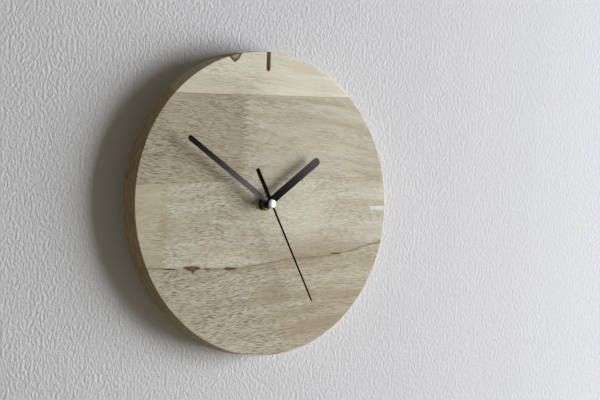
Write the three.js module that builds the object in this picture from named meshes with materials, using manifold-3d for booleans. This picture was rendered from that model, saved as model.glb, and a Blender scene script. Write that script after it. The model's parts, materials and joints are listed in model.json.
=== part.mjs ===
// A round wooden wall clock with a battery movement let into its back.
// It is drawn lying on its back: x to the right, y up the face, z out of the wall, all in millimetres.
// The whole group is then stood upright, so that +Z is up and the face looks along -Y.
import * as THREE from "three";
import { mergeVertices } from "three/addons/utils/BufferGeometryUtils.js";
import Module from "manifold-3d";

const wasm = await Module();
wasm.setup();

// Driving dimensions, a group for each piece.

const fit = {
  running: 0.08, // radial play of a shaft in its bearing
  seated: 0.05, // radial play of a ring pressed or screwed on
  loose: 0.3, // play of a piece that drops into a recess
  overrun: 1, // how far a cut runs past the surface that it opens
  weld: 1e-4, // corners nearer than this are one corner
};

const disc = {
  diameter: 250,
  thickness: 18,
  edge: 0.5, // the sanded edge
  web: 2.6, // wood left in front of the movement
  shaftHole: 8.6,
  pocketPlay: 0.75,
  pocketCorner: 6,
};

const marker = { width: 3.5, length: 16 };

const hanger = {
  width: 46,
  height: 20,
  corner: 4,
  thickness: 1.6,
  inset: 37, // from the rim to the middle of the plate
  headHole: 8.4,
  neck: 4.2,
  headDrop: 3, // the large hole sits this far under the middle
  neckRise: 5.5, // the neck's round end sits this far over it
  nailRoomDepth: 9,
  nailRoomPlay: 2,
  screwSpacing: 34,
};

const screw = {
  head: 5.6,
  headHeight: 1.4,
  shank: 3,
  length: 11,
  drive: 2.6,
  driveArm: 0.7,
  driveDepth: 0.8,
  pointLength: 3,
};

const movement = {
  width: 56,
  height: 56,
  depth: 14.7,
  corner: 4,
  wall: 1.2,
  ledge: 0.8,
  coverThickness: 1.2,
  postDiameter: 3.8,
  postInset: 2.6,
  pegDiameter: 1.8,
};

// The tongues that snap the rear cover into windows in the case's sides.
const latch = { width: 6, thickness: 1, reach: 5, barb: 0.9, barbHeight: 2 };

const gasket = { diameter: 26, thickness: 0.5 };
const washer = { diameter: 12.4, thickness: 0.4 };
const nut = { acrossFlats: 10.4, thickness: 2, chamfer: 0.35 };

const bush = {
  diameter: 7.9,
  flangeDiameter: 10.4,
  flangeThickness: 0.6,
  standing: 0.6, // thread that shows in front of the nut
};

const hourPipe = { diameter: 5, standing: 2.9 }; // how far each pipe stands in front of the one around it
const minutePipe = { diameter: 3.2, standing: 1.7 };
const secondPin = { diameter: 1.1, standing: 3.2 };

const train = {
  plateGap: 0.3, // between a wheel and the plate next to it
  layerGap: 0.3, // between two wheels that pass each other
  wheelThickness: 0.7,
  pinionLength: 1.3,
  arbor: 1,
  rotorArbor: 0.8,
  pivotDepth: 0.6, // how far an arbor enters the front plate
  bridgeThickness: 0.8,
};

// Tooth counts, and the module of each pair: its pitch diameter in millimetres per tooth.
const rotorPair = { pinion: 6, wheel: 45, module: 0.28 };
const secondPair = { pinion: 6, wheel: 24, module: 0.52 };
const thirdPair = { pinion: 6, wheel: 45, module: 0.36 };
const centrePair = onSameArbors({ pinion: 6, wheel: 48 }, thirdPair);
const motionPair = { pinion: 12, wheel: 36, module: 0.4 };
const hourPair = onSameArbors({ pinion: 10, wheel: 40 }, motionPair);
const settingPinionTeeth = 12;

// Two pairs on the same two arbors share one centre distance, which settles the second module.
function onSameArbors(teeth, pair) {
  const span = pair.module * (pair.pinion + pair.wheel);
  return { ...teeth, module: span / (teeth.pinion + teeth.wheel) };
}

// Tooth corners as [height over the pitch circle in modules, half width in tooth spacings].
const wheelToothShares = [
  [-1.2, 0.31],
  [1.1, 0.09],
];
const pinionToothShares = [
  [-1.6, 0.16],
  [0, 0.16],
  [0.7, 0.07],
];

// Directions of the arbors from each other, in degrees anticlockwise from x.
const thirdBearing = 135;
const intermediateBearing = 45;
const rotorBearing = 100;
const motionBearing = 20;
const settingBearing = 60;

const magnet = { diameter: 6, length: 2.4, lead: 0.8 };

const stator = {
  thickness: 0.8,
  ringWidth: 1.5,
  airGap: 0.4,
  barHalfHeight: 3.6,
  armWidth: 3.3,
  armOverrun: 1.5,
  leftReach: 14,
  rightReach: 11.6,
  coreWidth: 3,
  pegDiameter: 1.4,
};

const coil = {
  rise: 21.5, // its axis over the shaft
  flangeDiameter: 5.2,
  barrelDiameter: 3.9,
  windingDiameter: 4.9,
  flangeThickness: 0.6,
  endPlay: 0.6,
};

const board = {
  width: 9.8,
  height: 20,
  thickness: 1,
  chipDiameter: 5,
  chipHeight: 1.1,
  chipRise: 6,
  crystalDiameter: 2,
  crystalLength: 6,
  crystalRise: -1,
};

const battery = {
  diameter: 14,
  bodyLength: 49.2,
  nubDiameter: 5.5,
  nubLength: 1.1,
  play: 0.2,
  endRim: 0.4,
};

const bay = { floor: 0.5, endWall: 1.6 };
const contact = { thickness: 0.3, width: 3, bulge: 1.1, padTail: 5, slotPlay: 0.3 };

const knob = {
  diameter: 11,
  thickness: 2.4,
  arbor: 3,
  recessPlay: 0.4,
  recessWall: 0.8,
  recessFloor: 1,
  lobes: 18,
  lobeDepth: 0.35,
  dishDiameter: 6.6,
  dishDepth: 0.6,
};

// Each hand: its length from the shaft, its width, and its direction clockwise from twelve.
const hourHand = {
  length: 63,
  width: 6.9,
  hub: 8.6,
  thickness: 0.5,
  direction: 52.8,
  collet: 7,
  colletHeight: 1.5,
};

const minuteHand = {
  length: 95.5,
  width: 4.4,
  hub: 7,
  thickness: 0.4,
  direction: 302.6,
  collet: 5.4,
  colletHeight: 0.9,
};

const secondHand = {
  length: 90,
  width: 1.5,
  tipWidth: 1.1,
  tailLength: 32,
  tailWidth: 3,
  hub: 5.4,
  thickness: 0.3,
  direction: 151.6,
  hubTube: 6.2,
  hubTubeHeight: 2,
  capDiameter: 7,
  capHeight: 1.1,
  capEdge: 0.35,
};

// How many straight sides stand for a round one.
const sides = { disc: 128, large: 28, medium: 20, small: 12, corner: 4, lobe: 4 };

// Places that follow from the dimensions. A height is a z, so a piece nearer the front has the greater one.

const discRadius = disc.diameter / 2;
const face = disc.thickness;
const caseFront = face - disc.web - gasket.thickness;
const caseBack = caseFront - movement.depth;
const plateInside = caseFront - movement.wall;
const coverFront = caseBack + movement.coverThickness;

// Heights of the stack that clamps the movement, and of the pipes that carry the hands.
const nutBack = face + washer.thickness;
const bushFront = nutBack + nut.thickness + bush.standing;
const hourPipeFront = bushFront + hourPipe.standing;
const minutePipeFront = hourPipeFront + minutePipe.standing;
const secondPinFront = minutePipeFront + secondPin.standing;

// Heights of the front faces of the wheels, from the front plate back.
const hourWheelFront = plateInside - train.plateGap;
const hourWheelBack = hourWheelFront - train.wheelThickness;
const motionWheelFront = hourWheelBack - 2 * train.layerGap;
const motionWheelBack = motionWheelFront - train.wheelThickness;
const centreWheelFront = motionWheelBack - 2 * train.layerGap;
const centreWheelBack = centreWheelFront - train.wheelThickness;
const bridgeFront = centreWheelBack - 2 * train.layerGap;
const bridgeBack = bridgeFront - train.bridgeThickness;
const thirdWheelFront = bridgeBack - 2 * train.layerGap;
const thirdWheelBack = thirdWheelFront - train.wheelThickness;
const statorFront = thirdWheelBack - train.layerGap;
const statorBack = statorFront - stator.thickness;
const secondWheelFront = thirdWheelBack - 2 * train.layerGap;
const secondWheelBack = secondWheelFront - train.wheelThickness;
const intermediateWheelFront = secondWheelBack - 3 * train.layerGap;
const intermediateWheelBack = intermediateWheelFront - train.wheelThickness;
const knobFloorFront = intermediateWheelBack - train.layerGap;
const arborBack = coverFront + movement.coverThickness / 2;
const bearingFront = intermediateWheelBack - 2 * train.layerGap;

const degrees = Math.PI / 180;

// The point at a distance and a bearing from another.
function away([x, y], distance, bearing) {
  return [x + distance * Math.cos(bearing * degrees), y + distance * Math.sin(bearing * degrees)];
}

function centreDistance(pair) {
  return (pair.module * (pair.pinion + pair.wheel)) / 2;
}

const shaftAt = [0, 0];
const thirdAt = away(shaftAt, centreDistance(thirdPair), thirdBearing);
const intermediateAt = away(shaftAt, centreDistance(secondPair), intermediateBearing);
const rotorAt = away(intermediateAt, centreDistance(rotorPair), rotorBearing);
const motionAt = away(shaftAt, centreDistance(motionPair), motionBearing);
const settingDistance = (motionPair.module * (settingPinionTeeth + motionPair.wheel)) / 2;
const settingAt = away(motionAt, settingDistance, settingBearing);

// The battery bay takes the foot of the case, and the train's chamber the rest.
const bayRadius = battery.diameter / 2 + battery.play;
const bayAt = -movement.height / 2 + movement.wall + bayRadius;
const bayAxis = caseFront - bay.floor - bayRadius;
const bayHalfLength = movement.width / 2 - bay.endWall;
const chamberSide = movement.width / 2 - movement.wall - movement.ledge;
const chamberTop = movement.height / 2 - movement.wall - movement.ledge;
const chamberFoot = bayAt + bayRadius + movement.wall + movement.ledge;
const chamberHeight = chamberTop - chamberFoot;
const chamberMiddle = (chamberTop + chamberFoot) / 2;

// Materials, one for each finish.

function finish(color, roughness, metalness) {
  return new THREE.MeshStandardMaterial({ color, roughness, metalness });
}

const wood = finish(0xc4bb9c, 0.6, 0);
const blackMetal = finish(0x17171a, 0.4, 0.3);
const brass = finish(0xb08d3e, 0.3, 1);
const polishedSteel = finish(0xd6d6da, 0.2, 1);
const zincSteel = finish(0xb4b6b8, 0.4, 1);
const blackPlastic = finish(0x1c1c1d, 0.55, 0);
const whitePlastic = finish(0xe8e6df, 0.45, 0);
const redPlastic = finish(0xb23a2a, 0.45, 0);
const rubber = finish(0x232323, 0.9, 0);
const copper = finish(0xa8582a, 0.35, 1);
const ferrite = finish(0x3a3a3d, 0.6, 0.2);
const siliconSteel = finish(0x8a8d90, 0.45, 1);
const greenBoard = finish(0x2c6a3d, 0.5, 0);
const darkResin = finish(0x101010, 0.35, 0);
const nickel = finish(0xc8c6bf, 0.3, 1);
const sleeve = finish(0x3c5a7a, 0.35, 0);

// Shapes.

function circlePoints(radius, count, [x, y] = [0, 0], turn = 0) {
  return Array.from({ length: count }, (_, i) => {
    const angle = turn + (2 * Math.PI * i) / count;
    return new THREE.Vector2(x + radius * Math.cos(angle), y + radius * Math.sin(angle));
  });
}

// Points of an arc, both ends included, in degrees anticlockwise from x.
function arcPoints([x, y], radius, from, to, steps) {
  return Array.from({ length: steps + 1 }, (_, i) => {
    const angle = (from + ((to - from) * i) / steps) * degrees;
    return new THREE.Vector2(x + radius * Math.cos(angle), y + radius * Math.sin(angle));
  });
}

function roundedRectangle(left, right, foot, top, corner) {
  return [
    ...arcPoints([right - corner, foot + corner], corner, -90, 0, sides.corner),
    ...arcPoints([right - corner, top - corner], corner, 0, 90, sides.corner),
    ...arcPoints([left + corner, top - corner], corner, 90, 180, sides.corner),
    ...arcPoints([left + corner, foot + corner], corner, 180, 270, sides.corner),
  ];
}

function rectangle(left, right, foot, top) {
  return [
    new THREE.Vector2(left, foot),
    new THREE.Vector2(right, foot),
    new THREE.Vector2(right, top),
    new THREE.Vector2(left, top),
  ];
}

// A slab with the given outline, from one height to the next, with any bevel inside the outline.
function slab(points, back, front, holes = [], bevel = 0) {
  const shape = new THREE.Shape(points);
  shape.holes = holes.map((hole) => new THREE.Path(hole));
  const geometry = new THREE.ExtrudeGeometry(shape, {
    depth: front - back - 2 * bevel,
    bevelEnabled: bevel > 0,
    bevelThickness: bevel,
    bevelSize: bevel,
    bevelOffset: -bevel,
    bevelSegments: 1,
    curveSegments: sides.corner,
  });
  geometry.translate(0, 0, back + bevel);
  return geometry;
}

// A slab on edge: its outline is in x and z, and it runs from one y to the other.
function slabOnEdge(points, from, to) {
  const geometry = slab(points, -to, -from);
  geometry.rotateX(Math.PI / 2);
  return geometry;
}

// A profile of [radius, height] pairs, anticlockwise, turned about an axis along z.
function turned(profile, count, [x, y] = [0, 0]) {
  const points = [...profile, profile[0]].map(([radius, height]) => new THREE.Vector2(radius, height));
  const geometry = new THREE.LatheGeometry(points, count);
  geometry.rotateX(Math.PI / 2);
  geometry.translate(x, y, 0);
  return geometry;
}

// A ring, or a plain disc where the bore is zero, between two heights.
function ring(bore, radius, back, front, count, at = [0, 0]) {
  return turned([[bore, back], [radius, back], [radius, front], [bore, front]], count, at);
}

function solid(geometry) {
  const bare = geometry.clone();
  bare.deleteAttribute("normal");
  bare.deleteAttribute("uv");
  const merged = mergeVertices(bare, fit.weld);
  const flat = new wasm.Mesh({
    numProp: 3,
    vertProperties: merged.attributes.position.array,
    triVerts: new Uint32Array(merged.index.array),
  });
  return new wasm.Manifold(flat);
}

function join(...geometries) {
  return geometries.map(solid).reduce((sum, next) => sum.add(next));
}

function cut(body, ...geometries) {
  return geometries.map(solid).reduce((rest, next) => rest.subtract(next), body);
}

function piece(name, form, material) {
  let geometry = form;
  if (!form.isBufferGeometry) {
    const flat = form.getMesh();
    geometry = new THREE.BufferGeometry();
    geometry.setAttribute("position", new THREE.BufferAttribute(flat.vertProperties, 3));
    geometry.setIndex(new THREE.BufferAttribute(flat.triVerts, 1));
    geometry = geometry.toNonIndexed();
  }
  geometry.computeVertexNormals();
  const mesh = new THREE.Mesh(geometry, material);
  mesh.name = name;
  return mesh;
}

// Teeth.

// Outline of a toothed wheel with one tooth at the given angle. Each tooth rises along its right
// flank from root to tip and comes down the left one.
function toothedOutline(teeth, module, toothShares, phase, [x, y]) {
  const spacing = (2 * Math.PI) / teeth;
  const rising = toothShares.map(([height, half]) => [(teeth / 2 + height) * module, -half]);
  const falling = toothShares.map(([height, half]) => [(teeth / 2 + height) * module, half]).reverse();
  return Array.from({ length: teeth }, (_, tooth) =>
    [...rising, ...falling].map(([radius, share]) => {
      const angle = phase + (tooth + share) * spacing;
      return new THREE.Vector2(x + radius * Math.cos(angle), y + radius * Math.sin(angle));
    }),
  ).flat();
}

// The angle of a tooth of the second wheel, so that its gap meets the first wheel's tooth
// on the line of centres, which runs at the given bearing from the first to the second.
function meshedPhase(phase, teeth, otherTeeth, bearing) {
  const line = bearing * degrees;
  return line + Math.PI - (teeth / otherTeeth) * (phase - line) + Math.PI / otherTeeth;
}

function wheel(pair, phase, at, back) {
  const outline = toothedOutline(pair.wheel, pair.module, wheelToothShares, phase, at);
  return slab(outline, back, back + train.wheelThickness);
}

// A pinion's leaves, set about the middle of the wheel that they drive.
function pinion(teeth, module, phase, at, wheelBack) {
  const back = wheelBack - (train.pinionLength - train.wheelThickness) / 2;
  return slab(toothedOutline(teeth, module, pinionToothShares, phase, at), back, back + train.pinionLength);
}

function arbor(diameter, at, back, front) {
  return ring(0, diameter / 2, back, front, sides.small, at);
}

// The bore in a plate for an arbor, with its running play.
function bearingHole(diameter, at, back, front) {
  return ring(0, diameter / 2 + fit.running, back, front, sides.small, at);
}

// Wooden disc and what hangs it.

const hangerAt = discRadius - hanger.inset;

// The plate's outline, grown by a play for the recess that takes it.
function hangerOutline(play) {
  const halfWidth = hanger.width / 2 + play;
  const foot = hangerAt - hanger.height / 2 - play;
  const top = hangerAt + hanger.height / 2 + play;
  return roundedRectangle(-halfWidth, halfWidth, foot, top, hanger.corner + play);
}

// The slots at twelve and at three, in degrees from twelve.
const markerTurns = [0, -90];

function markerSlot(turn) {
  const half = marker.width / 2;
  const inner = discRadius - marker.length + half;
  const outline = [
    new THREE.Vector2(half, discRadius + fit.overrun),
    ...arcPoints([0, inner], half, 0, -180, sides.corner * 2),
    new THREE.Vector2(-half, discRadius + fit.overrun),
  ];
  const slot = slab(outline.reverse(), -fit.overrun, face + fit.overrun);
  slot.rotateZ(turn * degrees);
  return slot;
}

function woodDisc() {
  const blank = slab(circlePoints(discRadius, sides.disc), 0, face, [], disc.edge);
  const side = movement.width / 2 + disc.pocketPlay;
  const end = movement.height / 2 + disc.pocketPlay;
  const pocketOutline = roundedRectangle(-side, side, -end, end, disc.pocketCorner);
  const pocket = slab(pocketOutline, -fit.overrun, face - disc.web);
  const shaftHole = ring(0, disc.shaftHole / 2, 0, face + fit.overrun, sides.medium);
  const hangerRecess = slab(hangerOutline(fit.loose), -fit.overrun, hanger.thickness + fit.seated);
  const roomSide = hanger.headHole / 2 + hanger.nailRoomPlay;
  const nailRoom = slab(
    roundedRectangle(
      -roomSide,
      roomSide,
      hangerAt - hanger.headDrop - roomSide,
      hangerAt + hanger.neckRise + hanger.neck / 2 + hanger.nailRoomPlay,
      roomSide / 2,
    ),
    0,
    hanger.nailRoomDepth,
  );
  const screwHoles = [-1, 1].map((side) =>
    ring(0, screw.shank / 2 + fit.seated, 0, screw.length + fit.loose, sides.small, [
      (side * hanger.screwSpacing) / 2,
      hangerAt,
    ]),
  );
  const slots = markerTurns.map(markerSlot);
  return cut(solid(blank), pocket, shaftHole, hangerRecess, nailRoom, ...screwHoles, ...slots);
}

// The cone of a screw's head, grown by a play for the seat that it sinks into.
function countersink(side, play) {
  return turned(
    [
      [0, -play],
      [screw.head / 2 + play, -play],
      [screw.head / 2 + play, 0],
      [screw.shank / 2 + play, screw.headHeight],
      [0, screw.headHeight],
    ],
    sides.small,
    [(side * hanger.screwSpacing) / 2, hangerAt],
  );
}

// The keyhole: a large hole for the nail's head that runs up into a narrow neck.
function keyhole() {
  const head = hanger.headHole / 2;
  const neck = hanger.neck / 2;
  const bite = Math.asin(neck / head) / degrees;
  return [
    ...arcPoints([0, hangerAt - hanger.headDrop], head, 90 + bite, 450 - bite, sides.medium),
    ...arcPoints([0, hangerAt + hanger.neckRise], neck, 0, 180, sides.corner * 2),
  ];
}

function hangerPlate() {
  const holes = [-1, 1].map((side) =>
    circlePoints(screw.shank / 2 + fit.seated, sides.small, [(side * hanger.screwSpacing) / 2, hangerAt]),
  );
  const sinks = [-1, 1].map((side) => countersink(side, fit.seated));
  return cut(solid(slab(hangerOutline(0), 0, hanger.thickness, [keyhole(), ...holes])), ...sinks);
}

// A countersunk wood screw, flush with the back of the plate, with a cross recess.
function hangerScrew(side) {
  const at = [(side * hanger.screwSpacing) / 2, hangerAt];
  const body = turned(
    [
      [0, 0],
      [screw.head / 2, 0],
      [screw.shank / 2, screw.headHeight],
      [screw.shank / 2, screw.length - screw.pointLength],
      [0, screw.length],
    ],
    sides.small,
    at,
  );
  const long = screw.drive / 2;
  const thin = screw.driveArm / 2;
  const [x, y] = at;
  const drives = [
    rectangle(x - long, x + long, y - thin, y + thin),
    rectangle(x - thin, x + thin, y - long, y + long),
  ].map((outline) => slab(outline, -fit.overrun, screw.driveDepth));
  return cut(solid(body), ...drives);
}

// Case of the movement.

const postPlaces = [
  [-chamberSide + movement.postInset, chamberFoot + movement.postInset],
  [chamberSide - movement.postInset, chamberFoot + movement.postInset],
  [-chamberSide + movement.postInset, chamberTop - movement.postInset],
  [chamberSide - movement.postInset, chamberTop - movement.postInset],
];

const contactFront = bridgeBack - board.thickness - fit.seated;
const contactBack = contactFront - contact.width;

// Each latch as its side, left or right, and its place up that side.
const latchPlaces = [-1, 1].flatMap((turn) => [
  [turn, chamberMiddle - chamberHeight / 4],
  [turn, chamberMiddle + chamberHeight / 4],
]);
const latchTip = coverFront + latch.reach;

function movementCase() {
  const side = movement.width / 2;
  const end = movement.height / 2;
  const block = slab(roundedRectangle(-side, side, -end, end, movement.corner), caseBack, caseFront);
  const chamber = slab(
    roundedRectangle(-chamberSide, chamberSide, chamberFoot, chamberTop, movement.corner / 2),
    caseBack - fit.overrun,
    plateInside,
  );
  const lidSide = chamberSide + movement.ledge;
  const lidRecess = slab(
    roundedRectangle(
      -lidSide,
      lidSide,
      chamberFoot - movement.ledge,
      chamberTop + movement.ledge,
      movement.corner / 2 + movement.ledge,
    ),
    caseBack - fit.overrun,
    coverFront,
  );
  const cradle = new THREE.CylinderGeometry(bayRadius, bayRadius, 2 * bayHalfLength, sides.large);
  cradle.rotateZ(Math.PI / 2);
  cradle.translate(0, bayAt, bayAxis);
  const mouth = slab(
    rectangle(-bayHalfLength, bayHalfLength, bayAt - bayRadius, bayAt + bayRadius),
    caseBack - fit.overrun,
    bayAxis,
  );
  const slotWidth = bayHalfLength - chamberSide + movement.corner / 2;
  const contactSlots = [-bayHalfLength, bayHalfLength - slotWidth].map((left) =>
    slab(
      rectangle(left, left + slotWidth, bayAt + bayRadius - fit.overrun, chamberFoot + fit.overrun),
      contactBack - contact.slotPlay,
      contactFront + contact.slotPlay,
    ),
  );
  const bushHole = ring(0, bush.diameter / 2 + fit.seated, 0, caseFront + fit.overrun, sides.large);
  const flangeRecess = ring(
    0,
    bush.flangeDiameter / 2 + fit.seated,
    plateInside - fit.overrun,
    plateInside + bush.flangeThickness,
    sides.large,
  );
  const pivotHoles = [
    bearingHole(train.arbor, thirdAt, plateInside - fit.overrun, plateInside + train.pivotDepth),
    bearingHole(train.arbor, motionAt, plateInside - fit.overrun, plateInside + train.pivotDepth),
    bearingHole(train.arbor, settingAt, plateInside - fit.overrun, plateInside + train.pivotDepth),
  ];
  const latchWindows = latchPlaces.map(([turn, y]) => {
    const reach = latch.width / 2 + fit.loose;
    const across = [turn * (chamberSide - fit.overrun), turn * (side + fit.overrun)].sort((a, b) => a - b);
    return slab(
      rectangle(...across, y - reach, y + reach),
      latchTip - latch.barbHeight - fit.loose,
      latchTip + fit.loose,
    );
  });
  const shell = cut(solid(block), chamber, lidRecess, cradle, mouth, ...contactSlots, ...latchWindows);
  const posts = postPlaces.flatMap((at) => [
    ring(0, movement.postDiameter / 2, bridgeFront, plateInside + fit.seated, sides.small, at),
    ring(0, movement.pegDiameter / 2, bridgeBack, bridgeFront + fit.seated, sides.small, at),
  ]);
  return cut(shell.add(join(...posts)), bushHole, flangeRecess, ...pivotHoles);
}

function threadedBush() {
  const outer = bush.diameter / 2;
  const bore = hourPipe.diameter / 2 + fit.running;
  return turned(
    [
      [bore, plateInside],
      [bush.flangeDiameter / 2, plateInside],
      [bush.flangeDiameter / 2, plateInside + bush.flangeThickness],
      [outer, plateInside + bush.flangeThickness],
      [outer, bushFront - bush.standing / 2],
      [outer - bush.standing / 2, bushFront],
      [bore, bushFront],
    ],
    sides.large,
  );
}

function gasketRing() {
  const bore = bush.diameter / 2 + fit.seated;
  return ring(bore, gasket.diameter / 2, caseFront, caseFront + gasket.thickness, sides.large);
}

function washerRing() {
  return ring(bush.diameter / 2 + fit.seated, washer.diameter / 2, face, nutBack, sides.large);
}

// A hexagon nut: its corners are taken off by a turned blank.
function hexNut() {
  const cornerRadius = nut.acrossFlats / 2 / Math.cos(Math.PI / 6);
  const nutFront = nutBack + nut.thickness;
  const hexagon = slab(circlePoints(cornerRadius, 6), nutBack, nutFront);
  const blank = turned(
    [
      [0, nutBack],
      [cornerRadius - nut.chamfer, nutBack],
      [cornerRadius, nutBack + nut.chamfer],
      [cornerRadius, nutFront - nut.chamfer],
      [cornerRadius - 2 * nut.chamfer, nutFront],
      [0, nutFront],
    ],
    sides.large,
  );
  const bore = ring(0, bush.diameter / 2 + fit.seated, face, nutFront + fit.overrun, sides.large);
  return cut(solid(hexagon).intersect(solid(blank)), bore);
}

// The inner bridge carries the arbors, with two pegs that locate the iron and the coil.
const statorPegPlaces = [
  [-stator.leftReach + stator.armWidth / 2, coil.rise],
  [stator.rightReach - stator.armWidth / 2, coil.rise],
];

function trainBridge() {
  const play = fit.loose;
  const outline = roundedRectangle(
    -chamberSide + play,
    chamberSide - play,
    chamberFoot + play,
    chamberTop - play,
    movement.corner / 2,
  );
  const holes = [
    ...postPlaces.map((at) => circlePoints(movement.pegDiameter / 2 + fit.seated, sides.small, at)),
    circlePoints(secondPin.diameter / 2 + fit.running, sides.small, shaftAt),
    circlePoints(train.arbor / 2 + fit.running, sides.small, thirdAt),
    circlePoints(train.arbor / 2 + fit.running, sides.small, intermediateAt),
    circlePoints(train.arbor / 2 + fit.running, sides.small, motionAt),
    circlePoints(train.rotorArbor / 2 + fit.running, sides.small, rotorAt),
    circlePoints(knob.arbor / 2 + fit.running, sides.small, settingAt),
  ];
  const plate = slab(outline, bridgeBack, bridgeFront, holes);
  const pillars = statorPegPlaces.flatMap((at) => [
    ring(0, stator.armWidth / 2, statorFront, bridgeBack + fit.seated, sides.small, at),
    ring(0, stator.pegDiameter / 2, coreBack - train.layerGap, statorFront + fit.seated, sides.small, at),
  ]);
  return join(plate, ...pillars);
}

// The rear cover closes the chamber; it has the rear bearings and the well that the setting knob sits in.
const wellRadius = knob.diameter / 2 + knob.recessPlay;
const wellFloorBack = knobFloorFront - knob.recessFloor;

function rearCover() {
  const side = chamberSide + movement.ledge - fit.loose / 2;
  const foot = chamberFoot - movement.ledge + fit.loose / 2;
  const top = chamberTop + movement.ledge - fit.loose / 2;
  const corner = movement.corner / 2 + movement.ledge;
  const plate = slab(roundedRectangle(-side, side, foot, top, corner), caseBack, coverFront);
  const bosses = [
    [shaftAt, secondPin.diameter],
    [thirdAt, train.arbor],
    [intermediateAt, train.arbor],
    [rotorAt, train.rotorArbor],
  ];
  const bossForms = bosses.map(([at, diameter]) =>
    ring(0, diameter / 2 + movement.wall / 2, coverFront - fit.seated, bearingFront, sides.small, at),
  );
  const wellOuter = wellRadius + knob.recessWall;
  const well = ring(0, wellOuter, coverFront - fit.seated, knobFloorFront, sides.medium, settingAt);
  const wellRoom = ring(0, wellRadius, caseBack - fit.overrun, wellFloorBack, sides.medium, settingAt);
  const knobHole = bearingHole(knob.arbor, settingAt, caseBack, knobFloorFront + fit.overrun);
  const bearings = bosses.map(([at, diameter]) =>
    bearingHole(diameter, at, arborBack - train.layerGap, bearingFront + fit.overrun),
  );
  const tongues = latchPlaces.map(latchTongue);
  return cut(join(plate, well, ...bossForms, ...tongues), wellRoom, knobHole, ...bearings);
}

// A tongue that runs in along the case's side; its barb stands in the window there.
function latchTongue([turn, y]) {
  const outer = chamberSide - fit.loose;
  const inner = outer - latch.thickness;
  const foot = coverFront - fit.seated;
  const catchAt = latchTip - latch.barbHeight;
  const outline = [
    [inner, foot],
    [outer, foot],
    [outer, catchAt],
    [outer + latch.barb, catchAt],
    [outer, latchTip],
    [inner, latchTip],
  ].map(([x, z]) => new THREE.Vector2(turn * x, z));
  return slabOnEdge(outline, y - latch.width / 2, y + latch.width / 2);
}

// The train, from the motor to the hands.

// Every driving pinion has a leaf along x, and the wheel that it drives is turned to mesh with it.
const pinionPhase = 0;

function drivenPhase(pair, bearing) {
  return meshedPhase(pinionPhase, pair.pinion, pair.wheel, bearing);
}

const intermediatePhase = drivenPhase(rotorPair, rotorBearing + 180);
const secondWheelPhase = drivenPhase(secondPair, intermediateBearing + 180);
const thirdWheelPhase = drivenPhase(thirdPair, thirdBearing);
const centreWheelPhase = drivenPhase(centrePair, thirdBearing + 180);
const motionWheelPhase = drivenPhase(motionPair, motionBearing);
const hourWheelPhase = drivenPhase(hourPair, motionBearing + 180);
const settingPhase = meshedPhase(motionWheelPhase, motionPair.wheel, settingPinionTeeth, settingBearing);

const magnetFront = statorFront + magnet.lead;
const magnetBack = magnetFront - magnet.length;

function rotorPinion() {
  return join(
    pinion(rotorPair.pinion, rotorPair.module, pinionPhase, rotorAt, intermediateWheelBack),
    arbor(train.rotorArbor, rotorAt, arborBack, bridgeFront - train.layerGap),
  );
}

function rotorMagnet() {
  const bore = train.rotorArbor / 2 + fit.seated;
  return ring(bore, magnet.diameter / 2, magnetBack, magnetFront, sides.medium, rotorAt);
}

function intermediateWheel() {
  return join(
    wheel(rotorPair, intermediatePhase, intermediateAt, intermediateWheelBack),
    pinion(secondPair.pinion, secondPair.module, pinionPhase, intermediateAt, secondWheelBack),
    arbor(train.arbor, intermediateAt, arborBack, bridgeFront - train.layerGap),
  );
}

function secondWheel() {
  return join(
    wheel(secondPair, secondWheelPhase, shaftAt, secondWheelBack),
    pinion(thirdPair.pinion, thirdPair.module, pinionPhase, shaftAt, thirdWheelBack),
    arbor(secondPin.diameter, shaftAt, arborBack, secondPinFront),
  );
}

function thirdWheel() {
  return join(
    wheel(thirdPair, thirdWheelPhase, thirdAt, thirdWheelBack),
    pinion(centrePair.pinion, centrePair.module, pinionPhase, thirdAt, centreWheelBack),
    arbor(train.arbor, thirdAt, arborBack, plateInside + train.pivotDepth - fit.running),
  );
}

const cannonHub = minutePipe.diameter / 2 - fit.loose;

// The centre wheel grips the cannon pinion's hub and lets it slip when the hands are set.
function centreWheel() {
  const disk = slab(
    toothedOutline(centrePair.wheel, centrePair.module, wheelToothShares, centreWheelPhase, shaftAt),
    centreWheelBack,
    centreWheelFront,
  );
  const collarBack = centreWheelBack - train.layerGap;
  const collar = ring(0, minutePipe.diameter, collarBack, centreWheelBack + fit.seated, sides.medium);
  const boreRadius = cannonHub + fit.running;
  const bore = ring(0, boreRadius, collarBack - fit.overrun, centreWheelFront + fit.overrun, sides.medium);
  return cut(join(disk, collar), bore);
}

function cannonPinion() {
  const leafBack = motionWheelBack - (train.pinionLength - train.wheelThickness) / 2;
  const leaves = pinion(motionPair.pinion, motionPair.module, pinionPhase, shaftAt, motionWheelBack);
  const pipe = ring(0, minutePipe.diameter / 2, leafBack, minutePipeFront, sides.medium);
  const hub = ring(0, cannonHub, centreWheelBack - train.layerGap, leafBack + fit.seated, sides.medium);
  const bore = ring(
    0,
    secondPin.diameter / 2 + fit.running,
    bridgeFront - fit.overrun,
    minutePipeFront + fit.overrun,
    sides.small,
  );
  return cut(join(leaves, pipe, hub), bore);
}

function motionWheel() {
  const leafFront = hourWheelFront + fit.seated;
  return join(
    wheel(motionPair, motionWheelPhase, motionAt, motionWheelBack),
    slab(
      toothedOutline(hourPair.pinion, hourPair.module, pinionToothShares, pinionPhase, motionAt),
      motionWheelFront - fit.seated,
      leafFront,
    ),
    arbor(train.arbor, motionAt, bridgeBack + fit.running, plateInside + train.pivotDepth - fit.running),
  );
}

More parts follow.
